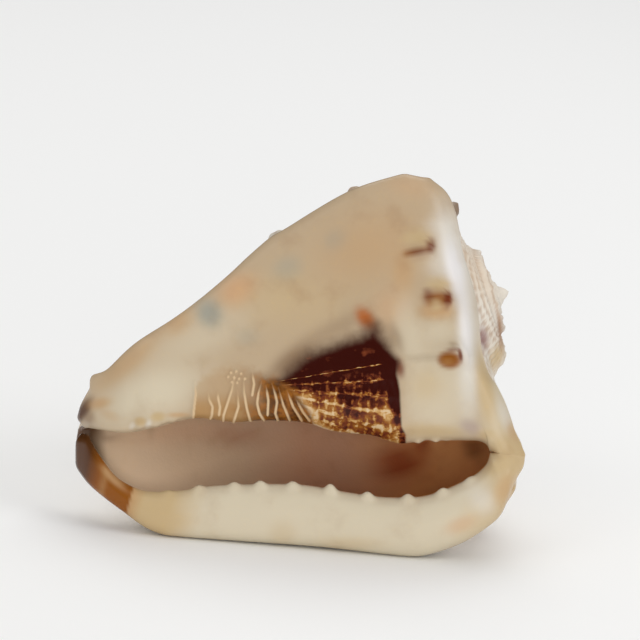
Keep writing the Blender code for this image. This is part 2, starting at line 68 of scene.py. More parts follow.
# Outlines of the mouth side, (x, z) in millimetres. x runs from the canal end to the spire side, and z
# up from the mouth. This side faces -Y before the shell is leaned back, and y is the depth behind it.
RIM = [(-3.0, -1.0), (1.1, 4.9), (2.9, 9.5), (7.1, 16.4), (13.8, 23.3), (22.8, 31.5), (37.9, 41.5),
       (56.1, 55.7), (71.0, 69.0), (90.3, 81.0), (103.7, 88.3), (116.5, 92.5), (122.7, 93.4), (132.1, 91.1)]
COLUMELLA_EDGE = [(-3.0, 0.6), (3.8, 0.4), (10.7, -0.2), (19.7, -1.0), (29.5, 0.6), (40.3, 3.4), (47.0, 4.2),
                  (59.7, 2.8), (68.5, 3.4), (83.8, 2.8), (95.1, -0.4), (108.9, -1.8), (119.3, -4.9),
                  (128.9, -4.0), (136.2, -4.0), (143.4, -4.0), (148.2, -4.2), (151.1, -5.6), (152.5, -8.2)]
LIP_INNER = [(-3.0, -1.4), (3.6, -1.8), (5.8, -3.6), (9.5, -9.1), (15.6, -16.8), (22.8, -21.1), (29.5, -22.5),
             (40.1, -22.0), (49.0, -20.6), (62.1, -19.9), (83.2, -20.0), (101.1, -22.9), (113.3, -24.5),
             (125.3, -24.5), (133.2, -22.8), (139.1, -20.4), (146.4, -16.7), (151.0, -12.5), (152.5, -8.2)]
LIP_OUTER = [(-3.0, -9.0), (1.7, -15.6), (5.8, -20.4), (11.9, -25.3), (18.6, -30.1), (25.9, -35.3),
             (31.9, -37.9), (37.9, -38.9), (61.9, -40.7), (90.3, -42.8), (113.3, -45.4), (125.3, -46.3),
             (134.4, -44.4), (143.4, -40.8), (151.9, -35.3), (156.7, -30.6), (159.7, -23.3)]
# The end beyond the mouth, from the mouth's own line up round the shield, and down round the lip.
SHIELD_END = [(165.3, -9.5), (163.9, -5.8), (161.6, -1.0), (159.2, 6.3), (155.5, 14.7), (152.0, 20.5),
              (149.3, 30.0), (147.7, 45.4), (145.0, 56.0), (142.0, 66.0), (140.4, 76.1), (137.0, 86.0),
              (131.0, 91.6)]
LIP_END = [(165.3, -9.5), (164.6, -13.7), (162.3, -17.5), (160.3, -21.5)]

# The coiling axis, and the slant of the sections, which are square to it along most of the shell.
AXIS_FOOT = np.array((1.5, 3.0))
AXIS_ANGLE = math.radians(16.7)
SLANT_FROM, SLANT_TO = 4.0, 46.0
FIRST_SECTION, LAST_SECTION = 0.4, 136.9
# How far the canal end's edge is rounded, and the most of the gap that each side is moved across for it.
CANAL_END_ROUND, MOST_MOVED = 1.2, 0.4

# Against the place of the section along the axis: the back's depth, the line that its arc is drawn about and
# how far the canal end is bent back, in millimetres, the size of the features, and where the hollow ends, in
# degrees round the back.
BACK_DEPTH = [(0.0, 12.0), (8.0, 17.0), (20.0, 26.0), (40.0, 42.0), (60.0, 57.0), (80.0, 70.0),
              (100.0, 81.0), (115.0, 88.0), (127.0, 91.0), (136.9, 90.0)]
BACK_RIDGE = [(0.0, -4.0), (20.0, -2.0), (50.0, 0.0), (140.0, 0.0)]
CANAL_LIFT = [(0.0, 22.0), (6.0, 12.5), (12.0, 6.2), (20.0, 1.8), (30.0, 0.0), (140.0, 0.0)]
FEATURE_SCALE = [(0.0, 0.32), (10.0, 0.44), (30.0, 0.66), (70.0, 0.9), (110.0, 1.0), (140.0, 1.0)]
CAVITY_END = [(0.0, 112.0), (20.0, 106.0), (60.0, 88.0), (100.0, 80.0), (140.0, 74.0)]
# The notch in the canal's tip: how far it cuts in, its middle and half height, how far behind the mouth side
# it reaches, and where along the shell it has faded out.
NOTCH, NOTCH_MIDDLE, NOTCH_HALF, NOTCH_BEHIND, NOTCH_FADES = 3.4, 0.2, 2.8, 9.0, 14.0

# How a section turns at the columella's edge, behind the shield's brim and round the lip, as (across, depth)
# from that edge where the features are at full size. The lip's face has shares of its width instead.
MOUTH_DEPTH = 9.0
COLUMELLA_TURN = [(0.0, MOUTH_DEPTH), (0.3, 5.4), (2.6, 1.8)]
BRIM_TURN = [(-2.2, 0.4), (-0.3, 2.2), (0.0, 4.4), (-1.6, 6.6)]
BRIM_BACK = (-4.6, 10.4)
LIP_TURN = [(7.0, 22.0), (5.2, 16.5), (1.4, 12.5), (0.0, 8.0), (1.2, 3.5), (5.0, 0.6)]
LIP_FACE = [(0.5, -0.9), (0.78, 0.1)]
LIP_SILL = [(-0.09, 2.0), (-0.01, 5.0), (0.0, MOUTH_DEPTH)]
# The shield's points between its margins, each margin as (width, most of the shield's own width), and how far
# the face sinks beside the columella.
FACE_SHARES = (0.0, 0.22, 0.44, 0.64, 0.84, 1.0)
COLUMELLA_MARGIN, RIM_MARGIN = (9.0, 0.42), (7.0, 0.45)
FACE_SILL = 0.5
# How the mouth side swells: its edge turns back, and its belly and its knobbed shoulder come forward, each
# about a place and with a reach, (along, across) the axis.
EDGE_TURN = 2.0
BELLY, BELLY_PLACE, BELLY_REACH = 4.0, (104.0, -22.0), (30.0, 24.0)
SHOULDER_SWELL, SWELL_PLACE, SWELL_REACH, SWELL_SLANT = 1.6, 131.0, 13.0, 0.3
# The back's arc: the power that makes it squarer than an ellipse, and how far inside the rim and the lip's
# edge it starts, and at which depth.
BACK_ROUND = 0.91
INSIDE_RIM, INSIDE_LIP = 6.0, 6.5
DEPTH_AT_RIM, DEPTH_AT_LIP = 12.0, 22.0
# The hollow: its wall and the least share of that at the canal, how high the inner whorl stands in it and how
# far off its middle lies, as shares, its far end as (share of the gap, how far it bulges), its points behind
# the lip as (across, depth), and the section from which it closes.
WALL, THINNEST_WALL = 3.6, 0.45
WHORL_INSIDE, WHORL_MIDDLE = 0.66, 0.25
CAVITY_CAP = [(0.14, 0.33), (0.5, 0.48), (0.86, 0.33)]
CAVITY_LIP = [(8.6, 18.5), (-3.0, 13.5)]
CAVITY_CLOSES_FROM = 116.0

# The shoulder's rings, as (advance along the axis, radius share), and the depth of the end's edge against the
# place in a section.
SHOULDER = [(3.6, 0.985), (7.0, 0.93), (8.6, 0.85)]
EDGE_DEPTH = [(0.0, 9.0), (7.0, 9.0), (9.0, 9.2), (11.0, 9.8), (13.0, 12.0), (14.0, 16.0), (22.0, 16.0),
              (24.0, 11.5), (26.0, 9.5), (28.0, 8.8), (33.0, 9.0)]
# How far the ring before the edge has gone towards it and towards its depth, and how far the ring behind the
# edge is drawn in and set back.
HALF_WAY, HALF_DEPTH = 0.56, 0.25
UNDERCUT_SHARE, UNDERCUT_BACK = 0.92, 0.8
# How far crowded points at the mouth's corner are moved towards an even spread, and where that ends.
PARTING, PARTED_UNTIL = 0.15, 0.4
# The spire: the height of its cone along the axis against its radius, the relief of one whorl from seam to
# seam and how high that is, and the knobs of one turn, with their row as (height, place, width).
CONE = [(0.0, 165.8), (1.5, 164.6), (3.0, 162.6), (6.0, 160.9), (10.0, 159.8), (15.0, 158.9), (20.0, 157.4),
        (25.0, 154.4), (30.0, 152.2), (40.0, 149.5), (60.0, 146.0)]
WHORL_PROFILE = [(0.0, -1.0), (0.15, -0.55), (0.62, 0.95), (0.74, 0.85), (0.9, -0.6), (1.0, -1.0)]
WHORL_STEP = 1.35
WHORL_KNOBS, KNOB_ROW = 14, (0.9, 0.66, 0.12)
# How a whorl's radius grows in one turn, a radius at which a seam lies, and the radii up to which the relief
# grows and from which it fades, and over how much.
WHORL_GROWTH = 1.9
SEAM_RADIUS = 29.0
WHORLS_FULL, WHORLS_END, WHORLS_FADE = 20.0, 30.0, 14.0
AXIS_DEPTH = 43.0
AXIS_CENTRE = np.array((0.0, 0.0, AXIS_DEPTH))
# The spire's rings: how they crowd towards the apex, by which share of the way they run evenly round, and how
# their directions are smoothed for that, with the least step between two points as a share of the mean.
APEX_CROWDING, ROUND_BY = 1.1, 0.3
LOOP_SMOOTHING, LEAST_STEP = 12, 0.35
# The places of the shield's rim and of the lip's outer edge in the order of a section's points.
RIM_PLACE, LIP_PLACE = 11.0, 26.0
MIDDLE_PLACE = (RIM_PLACE + LIP_PLACE) / 2
# Within how many places a point leaves the end's edge behind the rim, and comes back to it about the lip's.
RIM_LEAVES, LIP_COMES = 5.0, (2.0, 3.0)
# The places beside the mouth, and the depth to which its sides rise at the corner.
MOUTH_PLACES, CORNER_DEPTH = (5, 29), 1.6
# How far from the mouth's corner, in places, the surface beyond it is levelled, and in how many rows.
CORNER_REACH, CORNER_ROWS = 3.4, 3.0
# Where the mouth side passes into the back and the back into the lip, as (place, width of the change), and
# the place past which the marks of the mouth side end.
FACE_TO_BACK, BACK_TO_LIP = (12.0, 1.6), (24.4, 1.4)
MARKS_END = 15
# Past the last section, counted in rings of the shoulder and as (start, width) of the change: where the mouth
# side ends and the spire begins, and how soon the inside of the mouth ends there and beside the mouth.
EDGE_PASSED, SPIRE_BEGINS, MOUTH_PASSED, SILL_WIDTH = (2.05, 0.5), (2.4, 0.6), 0.4, 1.3
# Where the lip's colours begin, in places, and where they carry on round the mouth's end, as (x, width).
LIP_GLAZE_FROM, LIP_GLAZE_ROUND = 24.6, (146.0, 9.0)
# The spire's chalky rim, as (radius, width of the change, share), and the tint of its grooves.
CHALKY_RIM = (34.0, 6.0, 0.5)
GROOVE_TINT = 0.45

# Bumps: on the mouth side as (x, z, height, radius, direction), along the lip as (section, height), and
# on the back as (section, degrees round from the rim's side to the lip's, height, radius). The back's own
# points are at so many degrees, from the place given.
FACE_KNOBS = [(127.1, 65.9, 3.6, 4.6, (0.55, -0.8, 0.1)), (134.4, 47.3, 4.6, 5.2, (0.6, -0.8, 0.05)),
              (138.8, 26.6, 4.6, 5.4, (0.6, -0.8, 0.0)), (146.8, -1.8, 2.6, 5.5, (0.3, -0.9, 0.0)),
              (104.9, 43.0, 1.6, 6.0, (0.2, -0.95, 0.1)), (126.5, -4.5, 1.3, 1.6, (0.0, -0.6, -0.7)),
              (132.5, -4.6, 1.5, 1.7, (0.0, -0.6, -0.7)), (136.5, -5.6, 1.3, 1.6, (0.0, -0.6, -0.7))]
CANAL_DENTICLES = [(24.5, 1.6), (27.8, 2.6), (30.6, 1.9), (33.6, 3.4), (37.0, 3.6)]
LIP_TEETH = [(28.5, 0.8), (36.8, 1.5), (47.7, 1.7), (56.6, 2.1), (67.4, 1.9), (79.6, 2.9), (91.4, 2.2),
             (104.5, 2.2), (116.5, 1.9), (127.0, 1.2)]
TOOTH_PLACE, TOOTH_RADIUS, TOOTH_WAY = 31.6, 2.3, (0.0, -0.45, 0.9)
DENTICLE_HEIGHT, DENTICLE_RADIUS, DENTICLE_WAY = 0.9, 1.5, (0.0, -0.8, -0.5)
BACK_ANGLES = (10, 26, 44, 64, 88, 110, 130, 148, 164)
BACK_PLACE = 14.0
BACK_KNOBS = ([(131.0, degrees, 5.0, 8.0) for degrees in (22, 52, 82, 112, 138)] + [(130.0, 158, 6.5, 9.0)]
              + [(106.0, degrees, 2.8, 6.5) for degrees in (30, 60, 90, 118)] + [(104.0, 146, 6.0, 9.0)]
              + [(84.0, degrees, 2.0, 5.5) for degrees in (36, 66, 95, 122)] + [(80.0, 146, 6.0, 8.5)]
              + [(62.0, degrees, 1.4, 4.6) for degrees in (46, 78, 108, 136)])
# Knobs of the back that show behind the shield's edge, as (place near them, height, radius, direction).
EDGE_KNOBS = [
    ((102.0, 14.0, 82.0), 7.3, 5.4, (0.0, 0.2, 0.95)), ((75.5, 13.0, 65.5), 6.6, 6.2, (-0.3, 0.2, 0.9)),
    ((11.0, 10.0, 15.5), 4.0, 4.2, (-0.6, 0.2, 0.7)), ((137.4, 17.0, 81.0), 5.6, 3.4, (0.8, 0.2, 0.5))]
# How steep the side of a bump is, and how far from its middle it is worked out, in radii. A bump of the mouth
# side is set on a point that faces forward at least so much, and other points count as further off.
BUMP_STEEPNESS, BUMP_REACH = 2.4, 5.0
FACES_FORWARD, FAR_OFF = -0.2, 1000.0

# Fine forms of the mouth side, as (x, z) in millimetres. The ridges are lines from their upper end down to
# the columella's edge, and the short ones above them are beads.
RIDGE_LINES = [
    [(44.5, 17.6), (45.1, 13.4), (44.5, 8.5), (44.1, 4.8)],
    [(49.5, 14.2), (50.0, 10.9), (51.2, 8.5), (50.9, 5.5), (50.2, 4.0)],
    [(53.0, 13.8), (53.2, 11.7), (53.9, 8.5), (53.5, 5.6)],
    [(59.4, 20.8), (58.2, 14.6), (56.6, 9.8), (55.2, 5.5), (55.0, 3.4)],
    [(60.3, 14.6), (60.6, 8.5), (59.4, 4.8), (58.6, 2.5)],
    [(62.4, 20.0), (62.7, 13.5), (63.6, 8.0), (64.8, 3.6), (65.9, 2.2)],
    [(69.1, 17.8), (67.9, 13.5), (67.4, 9.8), (68.2, 6.2), (70.0, 3.4)],
    [(70.6, 16.4), (71.5, 10.9), (71.2, 5.5)],
    [(72.7, 17.1), (73.9, 13.5), (74.7, 10.3), (74.0, 6.2), (75.1, 3.2)],
    [(75.1, 15.7), (77.0, 9.1), (78.8, 4.8), (79.3, 3.6)],
    [(78.2, 14.6), (80.6, 8.5), (83.7, 3.6)],
    [(81.2, 12.0), (84.2, 6.7), (86.6, 3.6)],
    [(57.6, 21.3), (57.9, 20.9)], [(59.6, 21.8), (59.8, 21.3)], [(61.5, 21.0), (61.6, 20.5)],
    [(56.6, 19.8), (56.9, 19.3)], [(58.9, 19.6), (59.1, 19.0)], [(60.8, 19.2), (60.8, 18.6)],
    [(57.9, 17.9), (58.3, 17.5)], [(60.1, 17.8), (60.2, 17.2)], [(62.9, 19.2), (63.0, 18.6)],
    [(65.6, 21.1), (66.3, 16.8), (65.6, 12.7)],
]
RIDGE_WIDTH = 0.54
# The part of the mouth side that the ridges lie in, as (from, to), and the share of a ridge's height at its
# upper end.
RIDGES_X, RIDGES_Z = (42, 90), (-1, 25)
RIDGE_TIP = 0.35
# The net on the dark patch: the distance between its upright strokes, how they lean and waver, how low its
# relief starts and over how much it rises, and how its rows spread from the fan's side to the far side, as
# (x, z of the first row, distance between rows).
NET_UPRIGHTS, NET_LEAN, NET_WAVER = 3.05, 0.12, (0.5, 2.7)
NET_TOP, NET_RISES = 22.0, 8.0
NET_NEAR, NET_FAR = (81.6, 18.9, 2.26), (115.1, 24.4, 6.06)
# The palest spot of the net, as (x, z, radius).
PALE_SPOT = (114.6, 6.2, 4.2)

# Marked areas of the mouth side as closed outlines of (x, z, softness), softness being how gradually the
# colour ends there, in millimetres.
DARK_PATCH = [
    (72.5, 18.0, 1.1), (75.8, 19.0, 1.5), (78.6, 21.6, 2.6), (85.6, 28.0, 3.0), (94.0, 31.2, 3.0),
    (99.0, 33.0, 3.0), (104.6, 34.8, 3.4), (108.2, 37.8, 4.2), (111.0, 37.8, 4.0), (114.6, 32.6, 2.6),
    (116.6, 28.6, 1.8), (119.2, 25.2, 1.1), (118.2, 20.8, 0.7), (119.4, 14.6, 0.5), (120.0, 1.2, 0.4),
    (121.6, -1.8, 0.4), (121.6, -7.0, 0.4), (104.9, -4.0, 0.4), (95.1, -2.0, 0.4), (88.3, 2.0, 0.4),
    (84.1, 8.2, 0.9), (80.6, 12.4, 1.1), (77.0, 15.6, 1.2)]
RIDGED_FAN = [
    (44.8, 14.0, 0.2), (45.9, 17.6, 0.9), (50.0, 20.4, 2.2), (55.7, 22.6, 2.6), (63.0, 22.6, 2.6),
    (69.2, 19.8, 2.4), (75.8, 18.2, 1.8), (80.6, 15.0, 1.5), (84.4, 10.0, 1.2), (87.6, 5.0, 0.9),
    (87.6, 0.0, 0.6), (69.2, -2.0, 0.4), (59.4, -2.0, 0.4), (46.6, -1.0, 0.4), (43.9, 1.9, 0.3),
    (44.6, 9.1, 0.2)]

# Soft stains of the glaze on the mouth side, with painted highlights along the shoulder among them: (x, z,
# half length, half width, degrees, colour, share, edge), where a higher edge ends the stain more abruptly.
STAINS_AND_HIGHLIGHTS = [
    (28.5, 12.5, 21.0, 10.0, 20, "cream", 0.95, 1.5), (47.0, 34.5, 21.0, 8.0, 24, "cream", 0.55, 1.3),
    (20.5, 25.0, 15.0, 4.0, 42, "warm_tan", 0.5, 1.3), (38.5, 39.5, 6.0, 4.4, 40, "warm_tan", 0.55, 1.2),
    (60.5, 51.0, 7.5, 5.6, 30, "peach", 0.85, 1.3), (50.0, 42.6, 4.6, 5.4, 30, "grey", 0.9, 1.4),
    (78.6, 58.6, 5.6, 4.4, 20, "grey", 0.6, 1.3), (96.0, 69.2, 4.6, 3.6, 30, "grey", 0.5, 1.3),
    (64.0, 34.0, 4.4, 3.4, 0, "grey", 0.3, 1.2), (75.0, 49.0, 14.0, 9.0, 30, "tan", 0.5, 1.2),
    (108.0, 66.0, 20.0, 13.0, 20, "warm_tan", 0.5, 1.2), (120.5, 57.0, 4.2, 8.0, 0, "warm_tan", 0.6, 1.3),
    (123.0, 89.0, 9.0, 4.5, -10, "peach", 0.3, 1.3), (90.0, 45.0, 14.0, 8.0, 20, "tan", 0.35, 1.2),
    (116.5, 44.5, 7.0, 7.0, 0, "peach", 0.45, 1.3),
    (3.2, 6.6, 2.3, 6.0, -38, "bark", 1.0, 2.0), (9.6, 9.6, 4.6, 2.2, 12, "warm_tan", 0.75, 1.4),
    (5.6, 4.4, 2.4, 2.6, 0, "umber_grey", 0.5, 1.5), (13.5, 5.4, 4.0, 1.8, -25, "warm_tan", 0.35, 1.4),
    (24.9, 3.1, 2.3, 1.7, -8, "tan", 0.95, 2.0), (31.2, 4.8, 2.8, 1.8, 8, "tan", 0.95, 2.0),
    (27.8, 2.2, 1.0, 1.6, -20, "white", 0.6, 1.5), (21.8, 1.6, 1.0, 1.4, -20, "white", 0.5, 1.5),
    (38.6, 5.5, 4.2, 0.9, 0, "warm_tan", 0.7, 1.6),
    (133.0, 14.0, 14.0, 20.0, 0, "cream", 0.75, 1.6), (122.5, 34.0, 5.5, 14.0, 6, "cream", 0.6, 1.6),
    (129.0, 16.5, 6.0, 6.0, 0, "tan", 0.5, 1.3), (133.0, 36.0, 8.0, 4.5, 0, "cream", 0.6, 1.4),
    # The two broad white stains right of the knobs are partly the white callus and partly painted highlight,
    # the reflection along that slope.
    (144.5, 30.0, 4.5, 26.0, 0, "white", 0.9, 1.6), (140.0, 66.0, 6.5, 17.0, 14, "white", 0.95, 1.6),
    (134.0, 60.0, 5.0, 5.5, 0, "white", 0.5, 1.4), (134.0, 75.0, 6.0, 3.6, 10, "white", 0.4, 1.3),
    # Painted highlight: the two pearl stripes along the shoulder, right of the knobs, paint the glaze's shine
    # there.
    (139.5, 58.0, 3.4, 12.0, 12, "pearl_highlight", 0.8, 1.5), (143.5, 37.0, 2.4, 12.0, 4, "pearl_highlight", 0.6, 1.4),
    (80.0, 25.0, 11.0, 4.2, 40, "umber_grey", 0.8, 1.3), (97.0, 37.5, 12.0, 3.4, 24, "umber_grey", 0.35, 1.2),
    (109.0, 38.6, 5.0, 3.0, -50, "umber_grey", 0.75, 1.4), (106.6, 41.0, 4.2, 2.8, -50, "rust", 0.9, 1.4),
    (117.8, 33.5, 2.6, 6.0, 20, "umber_grey", 0.5, 1.3),
    (119.2, 22.6, 1.9, 3.4, 8, "garnet", 0.85, 1.4), (128.0, 26.4, 8.0, 1.5, 2, "umber_grey", 0.22, 1.4),
    (125.6, 69.8, 5.0, 3.4, 0, "tan", 0.9, 1.5), (123.4, 64.4, 3.0, 1.3, 4, "orange", 0.7, 1.6),
    (126.6, 65.2, 4.2, 1.7, 8, "garnet", 0.8, 1.3), (130.6, 67.0, 1.8, 2.5, -20, "garnet", 0.9, 1.4),
    (133.6, 53.0, 4.6, 2.6, 0, "tan", 0.9, 1.5), (132.6, 43.2, 6.4, 3.0, 0, "warm_tan", 0.85, 1.6),
    (133.2, 47.8, 5.4, 3.0, 0, "orange", 0.95, 2.0), (129.6, 49.4, 2.0, 1.5, 0, "garnet", 0.8, 1.6),
    (136.8, 47.8, 1.7, 3.0, 0, "garnet", 1.0, 2.0), (132.6, 45.4, 2.2, 2.2, 0, "tan", 0.8, 1.6),
    (137.4, 25.6, 4.4, 3.2, -4, "orange", 1.0, 3.0), (136.6, 25.0, 2.4, 1.3, 0, "gold", 0.25, 1.5),
    (141.3, 27.4, 0.8, 2.4, 10, "garnet", 0.9, 2.0), (138.8, 29.4, 2.4, 0.8, 0, "garnet", 0.6, 1.8),
    (139.0, 31.2, 1.8, 1.2, 0, "umber_grey", 0.4, 1.4),
    (130.5, -0.4, 12.0, 2.6, -2, "tan", 0.75, 1.5), (145.0, 1.2, 4.0, 2.6, -25, "lavender", 0.7, 1.5),
    (150.6, 16.0, 3.4, 15.0, 8, "tan", 0.9, 1.5), (158.0, 5.0, 2.6, 7.0, 18, "white", 0.6, 1.5),
    (160.6, -1.0, 2.0, 4.0, 20, "warm_tan", 0.6, 1.5), (157.0, -7.0, 6.0, 6.0, 0, "tan", 0.8, 1.5),
    (151.0, -1.5, 3.0, 2.0, 0, "tan", 0.7, 1.4),
    (14.5, -17.4, 6.0, 1.7, -42, "warm_tan", 0.7, 1.6), (5.0, -3.6, 3.4, 1.4, -30, "bark", 0.8, 1.6),
    (36.0, -33.0, 7.0, 4.0, 0, "tan", 0.6, 1.3), (76.6, -38.0, 5.0, 5.0, 0, "tan", 0.35, 1.4),
    (100.0, -41.5, 12.0, 2.6, 0, "tan", 0.4, 1.4), (123.5, -34.0, 10.0, 8.0, 0, "cream", 0.5, 1.3),
    (149.2, -25.2, 6.4, 4.6, -50, "white", 0.6, 1.3), (141.5, -34.5, 6.0, 3.0, 22, "peach", 0.5, 1.4),
    (157.6, -21.5, 3.6, 6.0, -20, "warm_tan", 0.6, 1.5), (155.0, -13.5, 5.5, 3.0, 20, "tan", 0.8, 1.4),
    (64.0, 7.2, 4.6, 0.3, -6, "bark", 0.7, 2.0),
]
# Stains of the spire, as they are seen from the front.
SPIRE_STAINS = [
    (148.0, 58.0, 5.0, 13.0, 25, "rose_beige", 0.45, 1.4), (155.4, 26.5, 2.8, 5.5, -20, "tan", 0.85, 1.5),
    (150.2, 33.5, 1.7, 4.0, 8, "lilac", 0.8, 1.4), (156.8, 36.0, 1.3, 6.5, 4, "amber", 0.7, 1.5),
    (141.5, 81.0, 4.0, 5.0, 0, "umber_grey", 0.9, 2.0)]
# Stains of the inside of the mouth, as they are seen from the front, with one painted shadow under the
# columella's edge near the canal.
HOLLOW_STAINS_AND_SHADOW = [
    (45.0, 0.0, 22.0, 5.0, 6, "mauve", 0.45, 1.3), (61.0, -3.0, 10.0, 4.0, 0, "wine", 0.35, 1.3),
    (96.0, -16.0, 20.0, 6.0, 0, "mauve", 0.3, 1.3), (120.5, -13.5, 11.0, 6.5, 12, "wine", 0.95, 1.3),
    (128.5, -6.0, 3.4, 3.6, 0, "wine", 0.7, 1.5), (147.5, -7.5, 4.0, 4.0, -20, "bark", 0.7, 1.4),
    # Painted shadow: the long bark stain at x 8 is the shade under the columella's edge; the short one at x
    # 28 is a growth line.
    (28.0, -0.8, 1.6, 2.4, -30, "bark", 0.45, 1.6), (8.0, -1.5, 8.0, 2.0, 0, "bark", 0.8, 1.4),
]

# Colours along the lip and along the inside of the mouth, by the distance from the canal end in millimetres.
# The lip's bands lean by so much of the distance below the mouth.
LIP_LEAN = 0.27
LIP_BANDS = [
    (0.0, "bark"), (8.5, "bark"), (14.0, "orange"), (16.5, "flame"), (18.5, "orange"), (27.5, "orange"),
    (28.3, "warm_tan"), (33.0, "tan"), (43.0, "tan"), (56.0, "cream"), (148.0, "cream"), (166.0, "tan"),
    (176.0, "tan")]
HOLLOW_BANDS = [
    (0.0, "bark"), (6.0, "umber_grey"), (12.0, "rose_beige"), (62.0, "rose_beige"), (85.0, "mauve"),
    (98.0, "mauve"), (126.0, "russet"), (146.0, "russet"), (160.0, "bark")]

# How the fine grid's rows lie along the shell, as (place, distance between rows), and how its columns
# lie round each section, one number for each span between control points.
ROW_SPACING = [(0.4, 0.2), (2.5, 0.3), (8.0, 0.62), (42.0, 0.62), (46.0, 0.42), (88.0, 0.42), (96.0, 0.5),
               (128.0, 0.52), (133.0, 0.3), (136.9, 0.22)]
FINE_COLUMNS = [4, 5, 8, 18, 16, 8, 8, 7, 6] + [3, 3, 3, 3, 3] + [11] * 8 + [4] * 6 + [6, 6, 6, 5, 5]
HOLLOW_COLUMNS = [2.2] * 8 + [0.7] * 4 + [2.2] * 7 + [2.0, 2.0, 2.0]
END_ROWS, SPIRE_ROWS = 18, 58
MOST_TRIANGLES = 200000
WELD = 0.001 * MM
# The spire's cords and ribs: their height, the distance between cords, and the ribs in one turn. The back's
# growth folds are so far apart, in places.
SPIRE_RELIEF, CORD_GAP, SPIRE_RIBS = 0.24, 2.9, 64
FOLD_GAP = 0.42
# The noises of the glaze, as (scale, detail, roughness) over the grown form's millimetres, how strongly the
# glaze mirrors, and the pores of the back as (strength, depth in metres).
CLOUD, FLECK, GRAIN, WOBBLE = (0.07, 4.0, 0.5), (0.55, 4.0, 0.6), (2.4, 2.0, 0.5), (0.35, 3.0, 0.5)
MIRRORING = 0.2
PORES = (0.35, 0.0004)
# The point of the mouth side in the middle of the view, as (x, z).
VIEW_CENTRE = (90.3, 40.1)
# Lights as (name, place, size, watts, tint, whether it shines back from the glaze), in metres, the point that
# they face, the strength of the pale room, and the floor's roughness.
LIGHTS = [("key", (-0.9, -1.1, 1.2), 0.8, 2.5, (1.0, 0.98, 0.95), True),
          ("front", (0.0, -1.5, 0.16), 0.6, 8.0, (1.0, 0.99, 0.97), False),
          ("fill", (1.3, -0.5, 0.9), 0.9, 6.0, (0.97, 0.98, 1.0), True),
          ("top", (0.1, 0.9, 1.7), 1.5, 14.0, (1.0, 1.0, 1.0), True)]
LIGHT_AIM = (0.0, 0.0, 0.06)
ROOM_LIGHT = 0.5
FLOOR_ROUGHNESS = 0.8


def shade(name, description, red, green, blue):
    """A colour that can be changed, from its eight-bit screen values."""
    linear = [((v / 255 + 0.055) / 1.055) ** 2.4 for v in (red, green, blue)]
    return FloatVectorProperty(name=name, description=description, subtype="COLOR", size=3, min=0.0,
                               max=1.0, default=linear)


class ShellSizes(PropertyGroup):
    """The fine relief of the shell, and how finely its grid is drawn."""

    ridge_height: FloatProperty(name="Ridges", description="Height of the wavy ridges beside the mouth",
                                default=0.0007, min=0.0, max=0.002, unit="LENGTH")
    net_height: FloatProperty(name="Net", description="Height of the net on the dark patch",
                              default=0.0002, min=0.0, max=0.001, unit="LENGTH")
    cord_height: FloatProperty(name="Back cords", description="Height of the spiral cords on the back",
                               default=0.00035, min=0.0, max=0.001, unit="LENGTH")
    cord_spacing: FloatProperty(name="Cord spacing", description="Distance between two cords of the back",
                                default=0.0037, min=0.002, max=0.01, unit="LENGTH")
    swell_height: FloatProperty(name="Swells", description="Height of the shield's faint swells",
                                default=0.0002, min=0.0, max=0.001, unit="LENGTH")
    rows: IntProperty(name="Rows", description="Rows of the grid along the shell", default=270, min=80,
                      max=280)


class ShellColours(PropertyGroup):
    """The glaze colours and how glossy the glaze is."""

    beige: shade("Beige", "The middle of the shield", 186, 164, 135)
    cream: shade("Cream", "The shield beside the canal, and the lip", 209, 197, 173)
    # White is the callus's own colour, and it also paints part of the highlight right of the knobs.
    white: shade("White", "The callus at the spire's side", 216, 210, 199)
    tan: shade("Tan", "Faint bands of the lip and the shield", 196, 171, 130)
    warm_tan: shade("Warm tan", "Stains of the shield and the lip", 190, 152, 108)
    peach: shade("Peach", "The small blush on the shield and the lip's end", 204, 162, 122)
    rust: shade("Rust", "The spot above the dark patch", 172, 90, 30)
    orange: shade("Orange", "The knobs' stains and the lip's bar", 142, 82, 22)
    grey: shade("Grey", "The spots on the shield", 156, 155, 143)
    # Painted highlight: this pale colour paints the shine along the shoulder, right of the knobs.
    pearl_highlight: shade("Pearl", "The brightest callus along the shoulder", 230, 227, 228)
    lavender: shade("Lavender", "The bump at the mouth's corner", 172, 152, 142)
    umber_grey: shade("Umber grey", "The halo of the dark patch", 126, 100, 76)
    bark: shade("Bark", "The canal end and the lip's layered edge", 84, 46, 12)
    garnet: shade("Garnet", "The dark edges of the knobs' stains", 112, 52, 28)
    amber: shade("Amber", "Between the dark and the gold of the patch", 150, 92, 32)
    maroon: shade("Maroon", "The dark patch beside the mouth", 56, 14, 6)
    gold: shade("Gold", "The worn border and net of the dark patch", 196, 152, 92)
    fan: shade("Fan", "Between the ridges", 174, 136, 90)
    ridge: shade("Ridge", "The crests of the ridges", 214, 186, 148)
    rose_beige: shade("Rose beige", "Inside the mouth near the canal", 214, 188, 158)
    mauve: shade("Mauve", "Inside the middle of the mouth", 212, 168, 136)
    wine: shade("Wine", "The dark blush inside the mouth", 158, 74, 38)
    russet: shade("Russet", "Inside the mouth near the spire", 226, 166, 108)
    chalk: shade("Chalk", "The back and the spire", 224, 216, 202)
    coil: shade("Coil", "The spire's whorls", 227, 220, 208)
    lilac: shade("Lilac", "The blush on the spire", 150, 114, 118)
    flame: shade("Flame", "The wavy marks of the back", 160, 112, 64)
    face_gloss: FloatProperty(name="Face roughness", description="Roughness of the glazed mouth side",
                              default=0.26, min=0.0, max=1.0, subtype="FACTOR")
    back_gloss: FloatProperty(name="Back roughness", description="Roughness of the back and the spire",
                              default=0.52, min=0.0, max=1.0, subtype="FACTOR")


